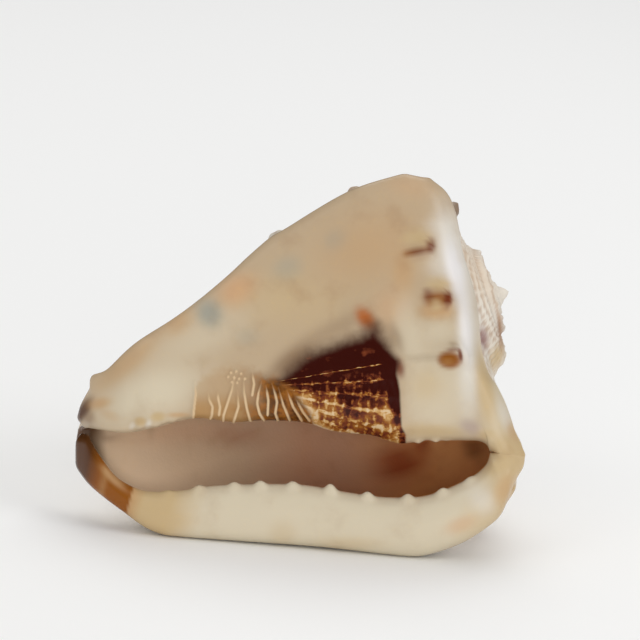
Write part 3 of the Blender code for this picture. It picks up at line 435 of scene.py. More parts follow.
class StageSettings(PropertyGroup):
    """The camera, the floor and the lights."""

    distance: FloatProperty(name="Distance", description="From the camera to the shell's face",
                            default=2.4, min=0.3, max=6.0, unit="LENGTH")
    seen_width: FloatProperty(name="Seen width", description="Width of the view at the shell's face",
                              default=0.2331, min=0.1, max=1.0, unit="LENGTH")
    floor_size: FloatProperty(name="Floor", description="Side of the floor", default=14.0, min=2.0,
                              max=40.0, unit="LENGTH")
    floor_colour: shade("Floor colour", "The plain pale floor", 250, 250, 249)
    light: FloatProperty(name="Light", description="Strength of all the lights together", default=1.0,
                         min=0.1, max=5.0)


def steady(points, places):
    """A smooth line through (place, value) points that never overshoots them."""
    xs, ys = np.array(points, float).T
    width = np.diff(xs)
    rise = np.diff(ys) / width
    slope = np.zeros(len(xs))
    slope[0], slope[-1] = rise[0], rise[-1]
    same_way = rise[:-1] * rise[1:] > 0
    both = np.where(same_way, rise[:-1] + rise[1:], 1.0)
    slope[1:-1] = np.where(same_way, 2 * rise[:-1] * rise[1:] / both, 0.0)
    places = np.clip(np.asarray(places, float), xs[0], xs[-1])
    i = np.clip(np.searchsorted(xs, places) - 1, 0, len(xs) - 2)
    f = (places - xs[i]) / width[i]
    hermite = (1 + 2 * f) * (1 - f) ** 2 * ys[i] + f * f * (3 - 2 * f) * ys[i + 1]
    return hermite + width[i] * (f * (1 - f) ** 2 * slope[i] - f * f * (1 - f) * slope[i + 1])


def ease(value):
    """0 below 0, 1 above 1, and a smooth step between."""
    f = np.clip(value, 0.0, 1.0)
    return f * f * (3 - 2 * f)


def spline_weights(places, count):
    """How much each of count points weighs in a Catmull-Rom curve at each place, counted in spans."""
    places = np.asarray(places, float)
    span = np.clip(places.astype(int), 0, count - 2)
    f = places - span
    parts = (-0.5 * f + f**2 - 0.5 * f**3, 1 - 2.5 * f**2 + 1.5 * f**3,
             0.5 * f + 2 * f**2 - 1.5 * f**3, -0.5 * f**2 + 0.5 * f**3)
    weights = np.zeros((len(places), count))
    rows = np.arange(len(places))
    for offset, part in zip((-1, 0, 1, 2), parts):
        index = span + offset
        inside = (index >= 0) & (index < count)
        np.add.at(weights, (rows[inside], index[inside]), part[inside])
        low = index < 0
        np.add.at(weights, (rows[low], np.zeros(low.sum(), int)), 2 * part[low])
        np.add.at(weights, (rows[low], np.ones(low.sum(), int)), -part[low])
        high = index >= count
        np.add.at(weights, (rows[high], np.full(high.sum(), count - 1)), 2 * part[high])
        np.add.at(weights, (rows[high], np.full(high.sum(), count - 2)), -part[high])
    return weights


def drawn(outline, samples=24):
    """An outline as many points on the smooth curve through its own."""
    points = np.array(outline, float)
    places = np.linspace(0, len(points) - 1, samples * (len(points) - 1) + 1)
    return spline_weights(places, len(points)) @ points


def share_places(densities, count):
    """count + 1 places along the spans, closer together where the density is higher."""
    total = np.concatenate(([0.0], np.cumsum(densities)))
    return np.interp(np.linspace(0, total[-1], count + 1), total, np.arange(len(total)))


class Sections:
    """The sections of the shell: the landmarks of each, across the axis, in millimetres."""

    def __init__(self, places):
        self.x = np.asarray(places, float)
        self.slant = AXIS_ANGLE * ease((self.x - SLANT_FROM) / (SLANT_TO - SLANT_FROM))
        self.foot_z = AXIS_FOOT[1] + math.tan(AXIS_ANGLE) * (self.x - AXIS_FOOT[0])
        self.scale = steady(FEATURE_SCALE, self.x)
        self.back = steady(BACK_DEPTH, self.x)
        self.ridge = steady(BACK_RIDGE, self.x)
        self.lift = steady(CANAL_LIFT, self.x)
        self.rim, self.columella, self.lip_in, self.lip_out = (
            self.crossings(outline) for outline in (RIM, COLUMELLA_EDGE, LIP_INNER, LIP_OUTER))

    def crossings(self, outline):
        """Where each section line meets the outline, measured across the axis."""
        points = drawn(outline)
        found = []
        for x, z, slant in zip(self.x, self.foot_z, self.slant):
            offset = points - (x, z)
            forward = offset @ (math.cos(slant), math.sin(slant))
            across = offset @ (-math.sin(slant), math.cos(slant))
            order = np.argsort(forward)
            found.append(np.interp(0.0, forward[order], across[order]))
        return np.array(found)

    def place(self, across, depth):
        """Points of the shell for places (across the axis, depth) in each section."""
        x = self.x[:, None] - across * np.sin(self.slant)[:, None]
        z = self.foot_z[:, None] + across * np.cos(self.slant)[:, None]
        fade = ease(1 - self.x / NOTCH_FADES)[:, None]
        up_down = np.exp(-(((z - NOTCH_MIDDLE) / NOTCH_HALF) ** 2))
        behind = np.exp(-((depth / NOTCH_BEHIND) ** 2))
        x = x + NOTCH * fade * up_down * behind
        return np.stack((x, depth + self.lift[:, None], z), axis=-1)

    def back_arc(self, angle, inset):
        """The back of the shell, at an angle from the rim's side round to the lip's, in degrees."""
        m = self.scale
        turn = np.radians(angle)
        side = np.where(np.cos(turn) > 0, self.rim - INSIDE_RIM * m - inset - self.ridge,
                        self.ridge - self.lip_out - INSIDE_LIP * m - inset)
        across = self.ridge + side * np.sign(np.cos(turn)) * np.abs(np.cos(turn)) ** BACK_ROUND
        low = m * (DEPTH_AT_RIM + (DEPTH_AT_LIP - DEPTH_AT_RIM) * (1 - np.cos(turn)) / 2)
        depth = low + (self.back - inset - low) * np.abs(np.sin(turn)) ** BACK_ROUND
        return across, depth

    def face_depth(self, across):
        """How the mouth side swells towards the viewer, above the mouth."""
        belly = np.exp(-(((self.x - BELLY_PLACE[0]) / BELLY_REACH[0]) ** 2)
                       - ((across - BELLY_PLACE[1]) / BELLY_REACH[1]) ** 2)
        edge = np.clip(across / np.maximum(self.rim, 1.0), 0.0, 1.0) ** 2
        shoulder = np.exp(-(((self.x - SWELL_PLACE + SWELL_SLANT * across) / SWELL_REACH) ** 2))
        return self.scale * (EDGE_TURN * edge - BELLY * belly - SHOULDER_SWELL * shoulder)

    def outer_points(self):
        """Control points from the columella's edge over the shield, the back and the lip, to the mouth."""
        m, rim, col = self.scale, self.rim, self.columella
        lip_in, lip_out = self.lip_in, self.lip_out
        low = col + np.minimum(COLUMELLA_MARGIN[0] * m, COLUMELLA_MARGIN[1] * (rim - col))
        high = rim - np.minimum(RIM_MARGIN[0] * m, RIM_MARGIN[1] * (rim - col))
        points = [(col + across * m, depth * m) for across, depth in COLUMELLA_TURN]
        for share in FACE_SHARES:
            across = low + share * (high - low)
            points.append((across, self.face_depth(across) + FACE_SILL * m * (1 - share) ** 6))
        brim = self.face_depth(rim)
        points += [(rim + across * m, brim + depth * m) for across, depth in BRIM_TURN]
        points.append((rim + BRIM_BACK[0] * m, BRIM_BACK[1] * m))
        points += [self.back_arc(angle, 0.0) for angle in BACK_ANGLES]
        points += [(lip_out + across * m, depth * m) for across, depth in LIP_TURN]
        width = lip_in - lip_out
        points += [(lip_out + share * width, depth * m) for share, depth in LIP_FACE]
        points += [(lip_in + share * width, depth * m) for share, depth in LIP_SILL]
        return as_grid(points)

    def inner_points(self):
        """Control points from the columella's edge round the hollow to the lip's edge."""
        m, col, lip_in = self.scale, self.columella, self.lip_in
        wall = WALL * (THINNEST_WALL + (1 - THINNEST_WALL) * m)
        end = steady(CAVITY_END, self.x)
        centre = np.maximum(self.ridge, col - WHORL_MIDDLE * (self.rim - col))
        mouth = MOUTH_DEPTH * m
        height = WHORL_INSIDE * (self.back - wall - mouth)
        core, outer = [], []
        for step in np.arange(1, 9) / 8:
            turn = np.radians(180.0 - (180.0 - end) * step)
            side = np.where(np.cos(turn) > 0, 0.5 * (self.rim - INSIDE_RIM * m - centre), centre - col)
            core.append((centre + side * np.sign(np.cos(turn)) * np.abs(np.cos(turn)) ** BACK_ROUND,
                         mouth + height * np.abs(np.sin(turn)) ** BACK_ROUND))
            outer.append(self.back_arc(np.degrees(turn), wall))
        (core_a, core_d), (outer_a, outer_d) = core[-1], outer[-1]
        gap_a, gap_d = outer_a - core_a, outer_d - core_d
        cap = [(core_a + share * gap_a + bulge * gap_d, core_d + share * gap_d - bulge * gap_a)
               for share, bulge in CAVITY_CAP]
        (behind_a, behind_d), (sill_a, sill_d) = CAVITY_LIP
        lip = [(self.lip_out + behind_a * m + wall, behind_d * m), (lip_in + sill_a * m, sill_d * m)]
        points = as_grid([(col, mouth)] + core + cap + outer[::-1] + lip + [(lip_in, mouth)])
        # The hollow closes to a point at the spire's end of the mouth.
        late = np.clip((self.x - CAVITY_CLOSES_FROM) / (LAST_SECTION - CAVITY_CLOSES_FROM), 0, 1)
        open_share = np.sqrt(1 - late**2)[:, None, None]
        share = np.linspace(0, 1, points.shape[1])[None, :, None]
        sill = points[:, :1] * (1 - share) + points[:, -1:] * share
        return sill + open_share * (points - sill)


def as_grid(points):
    """Control points of many sections, each given as (across, depth) for all the sections, as one grid."""
    return np.stack([np.stack(np.broadcast_arrays(across, depth), -1) for across, depth in points], axis=1)


def drawn_together(outer, inner, share):
    """Two lines of a section moved towards each other, never past half way, with their ends kept."""
    gap = inner[None, :, :] - outer[:, None, :]
    distance = np.linalg.norm(gap, axis=-1)
    moved = []
    for line, to_other, way in ((outer, distance.argmin(1), 1), (inner, distance.argmin(0), -1)):
        index = np.arange(len(line))
        step = gap[index, to_other] if way == 1 else -gap[to_other, index]
        length = np.maximum(np.linalg.norm(step, axis=-1, keepdims=True), 1e-6)
        amount = share * np.minimum(MOST_MOVED, CANAL_END_ROUND / length)
        amount[0] = amount[-1] = 0.0
        moved.append(line + amount * step)
    return moved


def edge_beyond(last, places):
    """The edge of the end beyond the mouth at each point of a section, and how near the end keeps to it."""
    across = last[:, 0]
    corner = across[0]
    up = np.clip((across - corner) / (np.interp(RIM_PLACE, places, across) - corner), 0, 1)
    up[places > RIM_PLACE] = 1.0
    up = parted(up, places / RIM_PLACE)
    down = np.clip((across - corner) / (np.interp(LIP_PLACE, places, across) - corner), 0, 1)
    down[places < LIP_PLACE] = 1.0
    down = parted(down[::-1], ((places[-1] - places) / (places[-1] - LIP_PLACE))[::-1])[::-1]
    upper = places < MIDDLE_PLACE
    edge = np.where(upper[:, None], along_outline(SHIELD_END, up), along_outline(LIP_END, down))
    near = np.where(upper, 1 - ease((places - RIM_PLACE) / RIM_LEAVES),
                    ease((places - LIP_PLACE + LIP_COMES[0]) / LIP_COMES[1]))
    return np.column_stack((edge, steady(EDGE_DEPTH, places))), near[:, None]


def shoulder_knots(last, places):
    """The last section and three rings past it: before, on and behind the edge, as (along, across, depth)."""
    start = (LAST_SECTION - AXIS_FOOT[0]) / math.cos(AXIS_ANGLE)
    ring = np.column_stack((np.full(len(last), start), last))
    edge, near = edge_beyond(last, places)
    depth = last[:, 1]
    beside_mouth = (places < MOUTH_PLACES[0]) | (places > MOUTH_PLACES[1])
    level = np.where(beside_mouth, np.minimum(depth, CORNER_DEPTH), depth)
    half = ring + HALF_WAY * (edge - ring)
    half[:, 2] = level + HALF_DEPTH * (edge[:, 2] - level)
    undercut = (AXIS_CENTRE + (edge - AXIS_CENTRE) * (1.0, UNDERCUT_SHARE, UNDERCUT_SHARE)
                - (UNDERCUT_BACK, 0.0, 0.0))
    knots = [ring]
    for (advance, shrink), on_edge in zip(SHOULDER, (half, edge, undercut)):
        turned = AXIS_CENTRE + (ring - AXIS_CENTRE) * (0.0, shrink, shrink) + (start + advance, 0.0, 0.0)
        knots.append(turned + near * (on_edge - turned))
    return np.array(knots)


def levelled(rings, places):
    """Rings that run smoothly past the mouth's corner, level with what lies above and below it."""
    from_corner = np.where(places < MIDDLE_PLACE, places, places - places[-1])
    beside = np.abs(from_corner) < CORNER_REACH
    above, below = (np.array([np.interp(place, places, ring[:, 2]) for ring in rings])[:, None]
                    for place in (CORNER_REACH, places[-1] - CORNER_REACH))
    level = (above + below) / 2 + (above - below) / 2 * from_corner[None, beside] / CORNER_REACH
    filled = ease(np.arange(1, len(rings) + 1) / CORNER_ROWS)[:, None]
    rings[:, beside, 2] += filled * np.minimum(level - rings[:, beside, 2], 0.0)
    return rings


def spire_rings(first, count):
    """Rings from behind the edge in over the ramp and the spire to the apex, as (along, across, depth)."""
    share = np.linspace(0, 1, count + 1)[1:, None]
    inward = (1 - share) ** APEX_CROWDING
    blend = ease(share / ROUND_BY)
    across, depth = first[:, 1], first[:, 2] - AXIS_DEPTH
    turn, reach = even_loop(across, depth)
    across = inward * (across * (1 - blend) + reach * np.cos(turn) * blend)
    depth = inward * (depth * (1 - blend) + reach * np.sin(turn) * blend)
    height = spire_height(np.hypot(across, depth), np.arctan2(depth, across))
    along = first[:, 0] * (1 - blend) + height * blend
    return np.stack((along, across, depth + AXIS_DEPTH), -1)


def spire_end(last, places, end_rows, spire_rows):
    """The end beyond the mouth and the spire, from the last section's (across, depth) points."""
    knots = shoulder_knots(last, places)
    at = spline_weights(np.linspace(0, len(SHOULDER), end_rows + 1)[1:], len(knots))
    rings = levelled(np.einsum("rk,kjd->rjd", at, knots), places)
    rings = np.concatenate((rings, spire_rings(knots[-1], spire_rows)), axis=0)
    x = AXIS_FOOT[0] + rings[..., 0] * math.cos(AXIS_ANGLE) - rings[..., 1] * math.sin(AXIS_ANGLE)
    z = AXIS_FOOT[1] + rings[..., 0] * math.sin(AXIS_ANGLE) + rings[..., 1] * math.cos(AXIS_ANGLE)
    return np.stack((x, rings[..., 2], z), -1)


def parted(share, even):
    """Shares of an outline that never turn back, with the crowded ones at its start set a little apart."""
    spread = np.clip(even, 0, 1) - share
    return np.maximum.accumulate(share + PARTING * (1 - ease(even / PARTED_UNTIL)) * spread)


def even_loop(across, depth):
    """Directions that turn evenly once round the axis, and smoothed radii, for a closed ring of points."""
    turn = np.unwrap(np.arctan2(depth, across))
    reach = np.hypot(across, depth)
    width = max(3, len(turn) // LOOP_SMOOTHING)
    window = np.hanning(width + 2)[1:-1]
    window /= window.sum()
    step = np.diff(turn)
    total = step.sum()

    def smoothed(ring):
        return np.convolve(np.concatenate((ring[-width:], ring, ring[:width])), window, "same")[width:-width]

    step = np.maximum(smoothed(step), LEAST_STEP * total / len(step))
    turn = turn[0] + np.concatenate(([0.0], np.cumsum(step * total / step.sum())))
    reach = smoothed(reach[:-1])
    return turn, np.append(reach, reach[0])


def along_outline(outline, share):
    """(along, across) the axis at shares of an outline's length."""
    points = drawn(outline)
    length = np.concatenate(([0.0], np.cumsum(np.linalg.norm(np.diff(points, axis=0), axis=1))))
    x, z = (np.interp(share * length[-1], length, points[:, k]) - AXIS_FOOT[k] for k in (0, 1))
    cos, sin = math.cos(AXIS_ANGLE), math.sin(AXIS_ANGLE)
    return np.column_stack((x * cos + z * sin, z * cos - x * sin))


def spire_height(radius, turn):
    """The height along the axis of the whorls' ramps, from their seam out to their knobbed shoulder."""
    whorl = np.log(np.maximum(radius, 0.6) / SEAM_RADIUS) / math.log(WHORL_GROWTH) - turn / (2 * math.pi)
    within = (whorl + 0.5) % 1.0
    size = np.clip(radius / WHORLS_FULL, 0, 1) * (1 - ease((radius - WHORLS_END) / WHORLS_FADE))
    relief = WHORL_STEP * steady(WHORL_PROFILE, within)
    high, place, width = KNOB_ROW
    row = high * np.exp(-(((within - place) / width) ** 2))
    knobs = row * np.maximum(0, np.cos(WHORL_KNOBS * turn)) ** 1.5
    return steady(CONE, radius) + size * (relief + knobs)


def add_bumps(outside, cut, places):
    """Raises the knobs and teeth, each as a soft bump about its own point of the surface."""
    normals = grid_normals(outside)
    rows = len(cut.x)

    def point_at(grid, section, place):
        i = np.interp(section, cut.x, np.arange(rows))
        j = np.interp(place, places, np.arange(len(places)))
        i0, j0 = min(int(i), rows - 2), min(int(j), len(places) - 2)
        f, g = i - i0, j - j0
        return ((grid[i0, j0] * (1 - f) + grid[i0 + 1, j0] * f) * (1 - g)
                + (grid[i0, j0 + 1] * (1 - f) + grid[i0 + 1, j0 + 1] * f) * g)

    moved = outside.copy()
    bumps = []
    for x, z, height, radius, direction in FACE_KNOBS + canal_denticles():
        turned_away = FAR_OFF * (normals[..., 1] > FACES_FORWARD)
        flat = np.hypot(outside[..., 0] - x, outside[..., 2] - z) + turned_away
        nearest = np.unravel_index(np.argmin(flat), flat.shape)
        bumps.append((np.array((x, outside[nearest][1], z)), height, radius, direction))
    for x, height in LIP_TEETH:
        anchor = point_at(outside, x, TOOTH_PLACE)
        bumps.append((anchor, height, TOOTH_RADIUS, TOOTH_WAY))
    for section, degrees, height, radius in BACK_KNOBS:
        place = BACK_PLACE + np.interp(degrees, BACK_ANGLES, np.arange(len(BACK_ANGLES)))
        bumps.append((point_at(outside, section, place), height, radius, point_at(normals, section, place)))
    for near, height, radius, direction in EDGE_KNOBS:
        away = np.linalg.norm(outside - near, axis=-1)
        bumps.append((outside[np.unravel_index(np.argmin(away), away.shape)], height, radius, direction))
    for anchor, height, radius, direction in bumps:
        direction = np.array(direction, float)
        direction /= np.linalg.norm(direction)
        away = np.linalg.norm(outside - anchor, axis=-1) / radius
        moved += (height * np.exp(-np.minimum(away, BUMP_REACH) ** BUMP_STEEPNESS))[..., None] * direction
    return moved


def canal_denticles():
    """The small bumps along the columella's edge near the canal."""
    return [(x, z, DENTICLE_HEIGHT, DENTICLE_RADIUS, DENTICLE_WAY) for x, z in CANAL_DENTICLES]


def grid_normals(points):
    """The outward direction at each point of a grid."""
    normals = np.cross(np.gradient(points, axis=0), np.gradient(points, axis=1))
    return normals / np.maximum(np.linalg.norm(normals, axis=-1, keepdims=True), 1e-9)


def shell_grids(section_places, places, end_rows, spire_rows):
    """The outside, from the canal over the body to the apex, and the hollow, as grids of points."""
    cut = Sections(section_places)
    rows = len(cut.x) - 1
    outer_at = spline_weights(places, len(FINE_COLUMNS) + 1)
    hollow_places = share_places(HOLLOW_COLUMNS, round(sum(HOLLOW_COLUMNS)))
    inner_at = spline_weights(hollow_places, len(HOLLOW_COLUMNS) + 1)
    outer = np.einsum("jk,ikd->ijd", outer_at, cut.outer_points())
    inner = np.einsum("jk,ikd->ijd", inner_at, cut.inner_points())
    for i, x in enumerate(cut.x):
        near = 1 - (x - cut.x[0]) / CANAL_END_ROUND
        if near > 0:
            outer[i], inner[i] = drawn_together(outer[i], inner[i], 1 - math.sqrt(1 - near**2))
    corner = (outer[-1, 0] + outer[-1, -1]) / 2
    outer[-1, 0] = outer[-1, -1] = inner[-1] = corner
    body = cut.place(outer[..., 0], outer[..., 1])
    hollow = cut.place(inner[..., 0], inner[..., 1])
    outside = np.concatenate((body, spire_end(outer[-1], places, end_rows, spire_rows)), axis=0)
    outside = add_bumps(outside, cut, places)
    hollow[:, 0], hollow[:, -1] = outside[:rows + 1, 0], outside[:rows + 1, -1]
    return outside, hollow, cut.x


def row_places(count):
    """Places of count + 1 sections, closer together where the fine forms are."""
    x, gap = np.array(ROW_SPACING).T
    dense = np.linspace(FIRST_SECTION, LAST_SECTION, 4000)
    total = np.concatenate(([0.0], np.cumsum(1 / np.interp((dense[1:] + dense[:-1]) / 2, x, gap))))
    return np.interp(np.linspace(0, total[-1], count + 1), total, dense)


def segment_distance(x, z, start, end):
    """The distance from each point to a straight stretch, and the share of the stretch nearest to it."""
    dx, dz = end[0] - start[0], end[1] - start[1]
    share = np.clip(((x - start[0]) * dx + (z - start[1]) * dz) / (dx * dx + dz * dz), 0, 1)
    return np.hypot(x - start[0] - share * dx, z - start[1] - share * dz), share


def depth_inside(x, z, outline):
    """How far inside an outline each point is, in units of the softness of the nearest edge."""
    best, softness = np.full(x.shape, 1e9), np.ones(x.shape)
    inside = np.zeros(x.shape, bool)
    for start, end in zip(outline, outline[1:] + outline[:1]):
        away, share = segment_distance(x, z, start, end)
        softness = np.where(away < best, start[2] + share * (end[2] - start[2]), softness)
        best = np.minimum(best, away)
        if start[1] != end[1]:
            crossing = start[0] + (z - start[1]) * (end[0] - start[0]) / (end[1] - start[1])
            inside ^= ((start[1] > z) != (end[1] > z)) & (x < crossing)
    return np.clip(np.where(inside, best, -best) / softness, -20, 20)


def ridge_crests(x, z):
    """How high each point is on the drawn ridges, 0 between them and 1 on a crest."""
    crest = np.zeros(x.shape)
    near = (x > RIDGES_X[0]) & (x < RIDGES_X[1]) & (z > RIDGES_Z[0]) & (z < RIDGES_Z[1])
    for line in RIDGE_LINES:
        for k, (start, end) in enumerate(zip(line[:-1], line[1:])):
            away, share = segment_distance(x[near], z[near], start, end)
            along = (k + share) / (len(line) - 1)
            height = np.exp(-((away / RIDGE_WIDTH) ** 2)) * (RIDGE_TIP + (1 - RIDGE_TIP) * ease(along / 0.4))
            crest[near] = np.maximum(crest[near], height)
    return crest


def net_rows(x, z):
    """The place of each point among the rows of the net: 0 on the first, and one more on each row below."""
    share = (x - NET_NEAR[0]) / (NET_FAR[0] - NET_NEAR[0])
    first = NET_NEAR[1] + share * (NET_FAR[1] - NET_NEAR[1])
    gap = NET_NEAR[2] + share * (NET_FAR[2] - NET_NEAR[2])
    return np.clip((first - z) / np.maximum(gap, 1.0), -20, 20)


def net_crests(x, z):
    """The height of the net on the dark patch, 0 to 1."""
    waver = NET_WAVER[0] * np.sin(z / NET_WAVER[1])
    upright = np.cos(2 * math.pi * (x - NET_LEAN * z + waver) / NET_UPRIGHTS)
    level = np.cos(2 * math.pi * net_rows(x, z))
    return np.maximum(ease(upright), ease(level))


def zones(places, ring_count, rows, end_rows):
    """How much each point of the outside belongs to the mouth side, to the spire and to the hollow."""
    front = np.where(places < MIDDLE_PLACE, 1 - ease((places - FACE_TO_BACK[0]) / FACE_TO_BACK[1]),
                     ease((places - BACK_TO_LIP[0]) / BACK_TO_LIP[1]))
    sill = 1 - ease(np.minimum(places, places[-1] - places) / SILL_WIDTH)
    ring = np.clip((np.arange(ring_count) - rows) / end_rows, 0.0, 2.0) * len(SHOULDER)
    past_edge = ease((ring - EDGE_PASSED[0]) / EDGE_PASSED[1])
    spire = np.broadcast_to(ease((ring - SPIRE_BEGINS[0]) / SPIRE_BEGINS[1])[:, None],
                            (ring_count, len(places)))
    within_mouth = (1 - ease(ring / MOUTH_PASSED))[:, None] * sill[None, :]
    return np.stack((front[None, :] * (1 - past_edge)[:, None], spire, within_mouth), -1)


def spire_lattice(points):
    """The cords round the apex with close growth ribs across them, and the distance from the axis."""
    x, z = points[..., 0] - AXIS_FOOT[0], points[..., 2] - AXIS_FOOT[1]
    across = z * math.cos(AXIS_ANGLE) - x * math.sin(AXIS_ANGLE)
    depth = points[..., 1] - AXIS_DEPTH
    radius, turn = np.hypot(across, depth), np.arctan2(depth, across)
    cord = np.cos(2 * math.pi * (radius / CORD_GAP - turn / (2 * math.pi)))
    rib = np.cos(SPIRE_RIBS * turn + 2.0 * np.sin(radius / 6.0)) * ease((radius - 12.0) / 10.0)
    return (cord + 0.9 * rib) * ease((radius - 4.0) / 8.0), radius


def back_cords(section, places, sizes):
    """The cords that run round the back, wandering a little, and the coarse growth folds that cross them."""
    along, around = section[:, None], places[None, :]
    wander = 0.55 * np.sin(1.3 * around + along / 15.0) + 0.35 * np.sin(3.1 * around - along / 6.0)
    strength = 0.75 + 0.25 * np.sin(along / 5.3 + 0.8 * around) * np.sin(along / 11.7)
    cord = 0.5 + 0.5 * np.cos(2 * math.pi * (along + wander) / (sizes.cord_spacing / MM))
    fold = 0.5 + 0.5 * np.cos(2 * math.pi * (around + 0.05 * np.sin(along / 4.1)) / FOLD_GAP + along / 9.0)
    return strength * cord**0.8 + 0.5 * fold * cord


def fine_relief(points, section, places, zone, sizes):
    """The height of the fine forms at each point of the outside, in millimetres."""
    front, spire = zone[..., 0], zone[..., 1]
    x, z = points[..., 0], points[..., 2]
    mouth_side = front * (places < MARKS_END)[None, :]
    patch = ease(depth_inside(x, z, DARK_PATCH) / 2) * ease((NET_TOP - z) / NET_RISES)
    height = sizes.ridge_height / MM * ridge_crests(x, z) * mouth_side
    height += sizes.net_height / MM * net_crests(x, z) * patch * mouth_side
    swell = np.sin(x / 7.3 + 1.4 * np.sin(z / 11.0)) + np.sin(z / 6.1 + x / 13.0)
    height += sizes.swell_height / MM * 0.5 * swell * mouth_side
    back = np.clip(1 - front - spire, 0, 1)
    height += sizes.cord_height / MM * (back_cords(section, places, sizes) - 0.5) * back
    height += SPIRE_RELIEF * spire_lattice(points)[0] * spire
    return height * np.maximum(spire, (ease(places) * ease(places[-1] - places))[None, :])


def banded(x, bands, colours):
    """Colours by the distance from the canal end, changing evenly from one band's place to the next."""
    at = [place for place, _ in bands]
    values = np.array([getattr(colours, name) for _, name in bands])
    return np.stack([np.interp(x, at, values[:, k]) for k in range(3)], -1)


def laid_over(under, over, share):
    """Colours laid over others, by a share at each point."""
    return np.array(under) + share * (np.array(over) - np.array(under))


def with_stains_and_painted_light(face, x, z, stains, colours):
    """Lays soft stains over the colours of a face, with the painted highlights and painted shadow that are
    listed among them.
    """
    for at_x, at_z, length, width, degrees, name, share, edge in stains:
        cos, sin = math.cos(math.radians(degrees)), math.sin(math.radians(degrees))
        along = ((x - at_x) * cos + (z - at_z) * sin) / length
        across = ((z - at_z) * cos - (x - at_x) * sin) / width
        weight = share * np.exp(-np.minimum(along**2 + across**2, 9.0) ** edge)
        face = laid_over(face, getattr(colours, name), weight[..., None])
    return face


def mouth_glaze(x, z, colours):
    """The colours of the inside of the mouth, with the painted shadow under the columella's edge near the
    canal.
    """
    return with_stains_and_painted_light(banded(x, HOLLOW_BANDS, colours), x, z, HOLLOW_STAINS_AND_SHADOW, colours)


def glazed(points, places, zone, colours):
    """The soft colours of the outside: the shield's, the lip's and the mouth's, over the chalky back, with
    painted highlights along the shoulder and painted shadow inside the mouth.
    """
    x, z = points[..., 0], points[..., 2]
    # The lip's bands carry on round the end of the mouth into the shield.
    round_end = ease((x - LIP_GLAZE_ROUND[0]) / LIP_GLAZE_ROUND[1])
    on_lip = np.maximum(ease(places - LIP_GLAZE_FROM)[None, :], round_end)[..., None]
    face = laid_over(colours.beige, banded(x - LIP_LEAN * z, LIP_BANDS, colours), on_lip)
    face = with_stains_and_painted_light(face, x, z, STAINS_AND_HIGHLIGHTS, colours)
    lattice, radius = spire_lattice(points)
    coil = laid_over(colours.coil, colours.flame, GROOVE_TINT * ease(0.2 - lattice)[..., None])
    chalky = CHALKY_RIM[2] * ease((radius - CHALKY_RIM[0]) / CHALKY_RIM[1])
    coil = laid_over(coil, colours.chalk, chalky[..., None])
    coil = with_stains_and_painted_light(coil, x, z, SPIRE_STAINS, colours)
    whole = laid_over(colours.chalk, coil, zone[..., 1:2])
    whole = laid_over(whole, face, zone[..., :1])
    return laid_over(whole, mouth_glaze(x, z, colours), zone[..., 2:])


def shell_layers(sizes, colours):
    """The outside and the hollow, each as (points, {name: numbers that the material reads})."""
    places = share_places(FINE_COLUMNS, sum(FINE_COLUMNS))
    rows = sizes.rows
    outside, hollow, section = shell_grids(row_places(rows), places, END_ROWS, SPIRE_ROWS)
    section = np.append(section, LAST_SECTION + 0.5 * np.arange(1, END_ROWS + SPIRE_ROWS + 1))
    zone = zones(places, len(outside), rows, END_ROWS)
    x, z = outside[..., 0], outside[..., 2]
    height = fine_relief(outside, section, places, zone, sizes)
    shape = outside + height[..., None] * grid_normals(outside)
    shape[rows:, -1] = shape[rows:, 0]
    hollow[:, 0], hollow[:, -1] = shape[:rows + 1, 0], shape[:rows + 1, -1]
    mouth_side = (places < MARKS_END)[None, :]
    marks = [np.where(mouth_side, values, -20.0) for values in
             (depth_inside(x, z, DARK_PATCH), depth_inside(x, z, RIDGED_FAN), net_rows(x, z))]
    cords = back_cords(section, places, sizes) * np.clip(1 - zone[..., 0] - zone[..., 1], 0, 1)
    crests = np.where(mouth_side, ridge_crests(x, z), 0.0) - cords
    drawn_at = np.stack(np.broadcast_arrays(section[:, None], places[None, :], crests), -1)
    outer = {"grown": outside, "zones": zone, "marks": np.stack(marks, -1), "drawn": drawn_at,
             "glaze": glazed(outside, places, zone, colours)}
    inner = {"grown": hollow, "zones": np.full(hollow.shape, (0.0, 0.0, 1.0)),
             "marks": np.full(hollow.shape, -20.0), "drawn": np.zeros(hollow.shape),
             "glaze": mouth_glaze(hollow[..., 0], hollow[..., 2], colours)}
    return (shape, outer), (hollow, inner)


def cells(grid_shape, start):
    """The four corners of every cell of a grid whose points are numbered from start."""
    index = start + np.arange(grid_shape[0] * grid_shape[1]).reshape(grid_shape[:2])
    return np.stack((index[:-1, :-1], index[1:, :-1], index[1:, 1:], index[:-1, 1:]), -1).reshape(-1, 4)


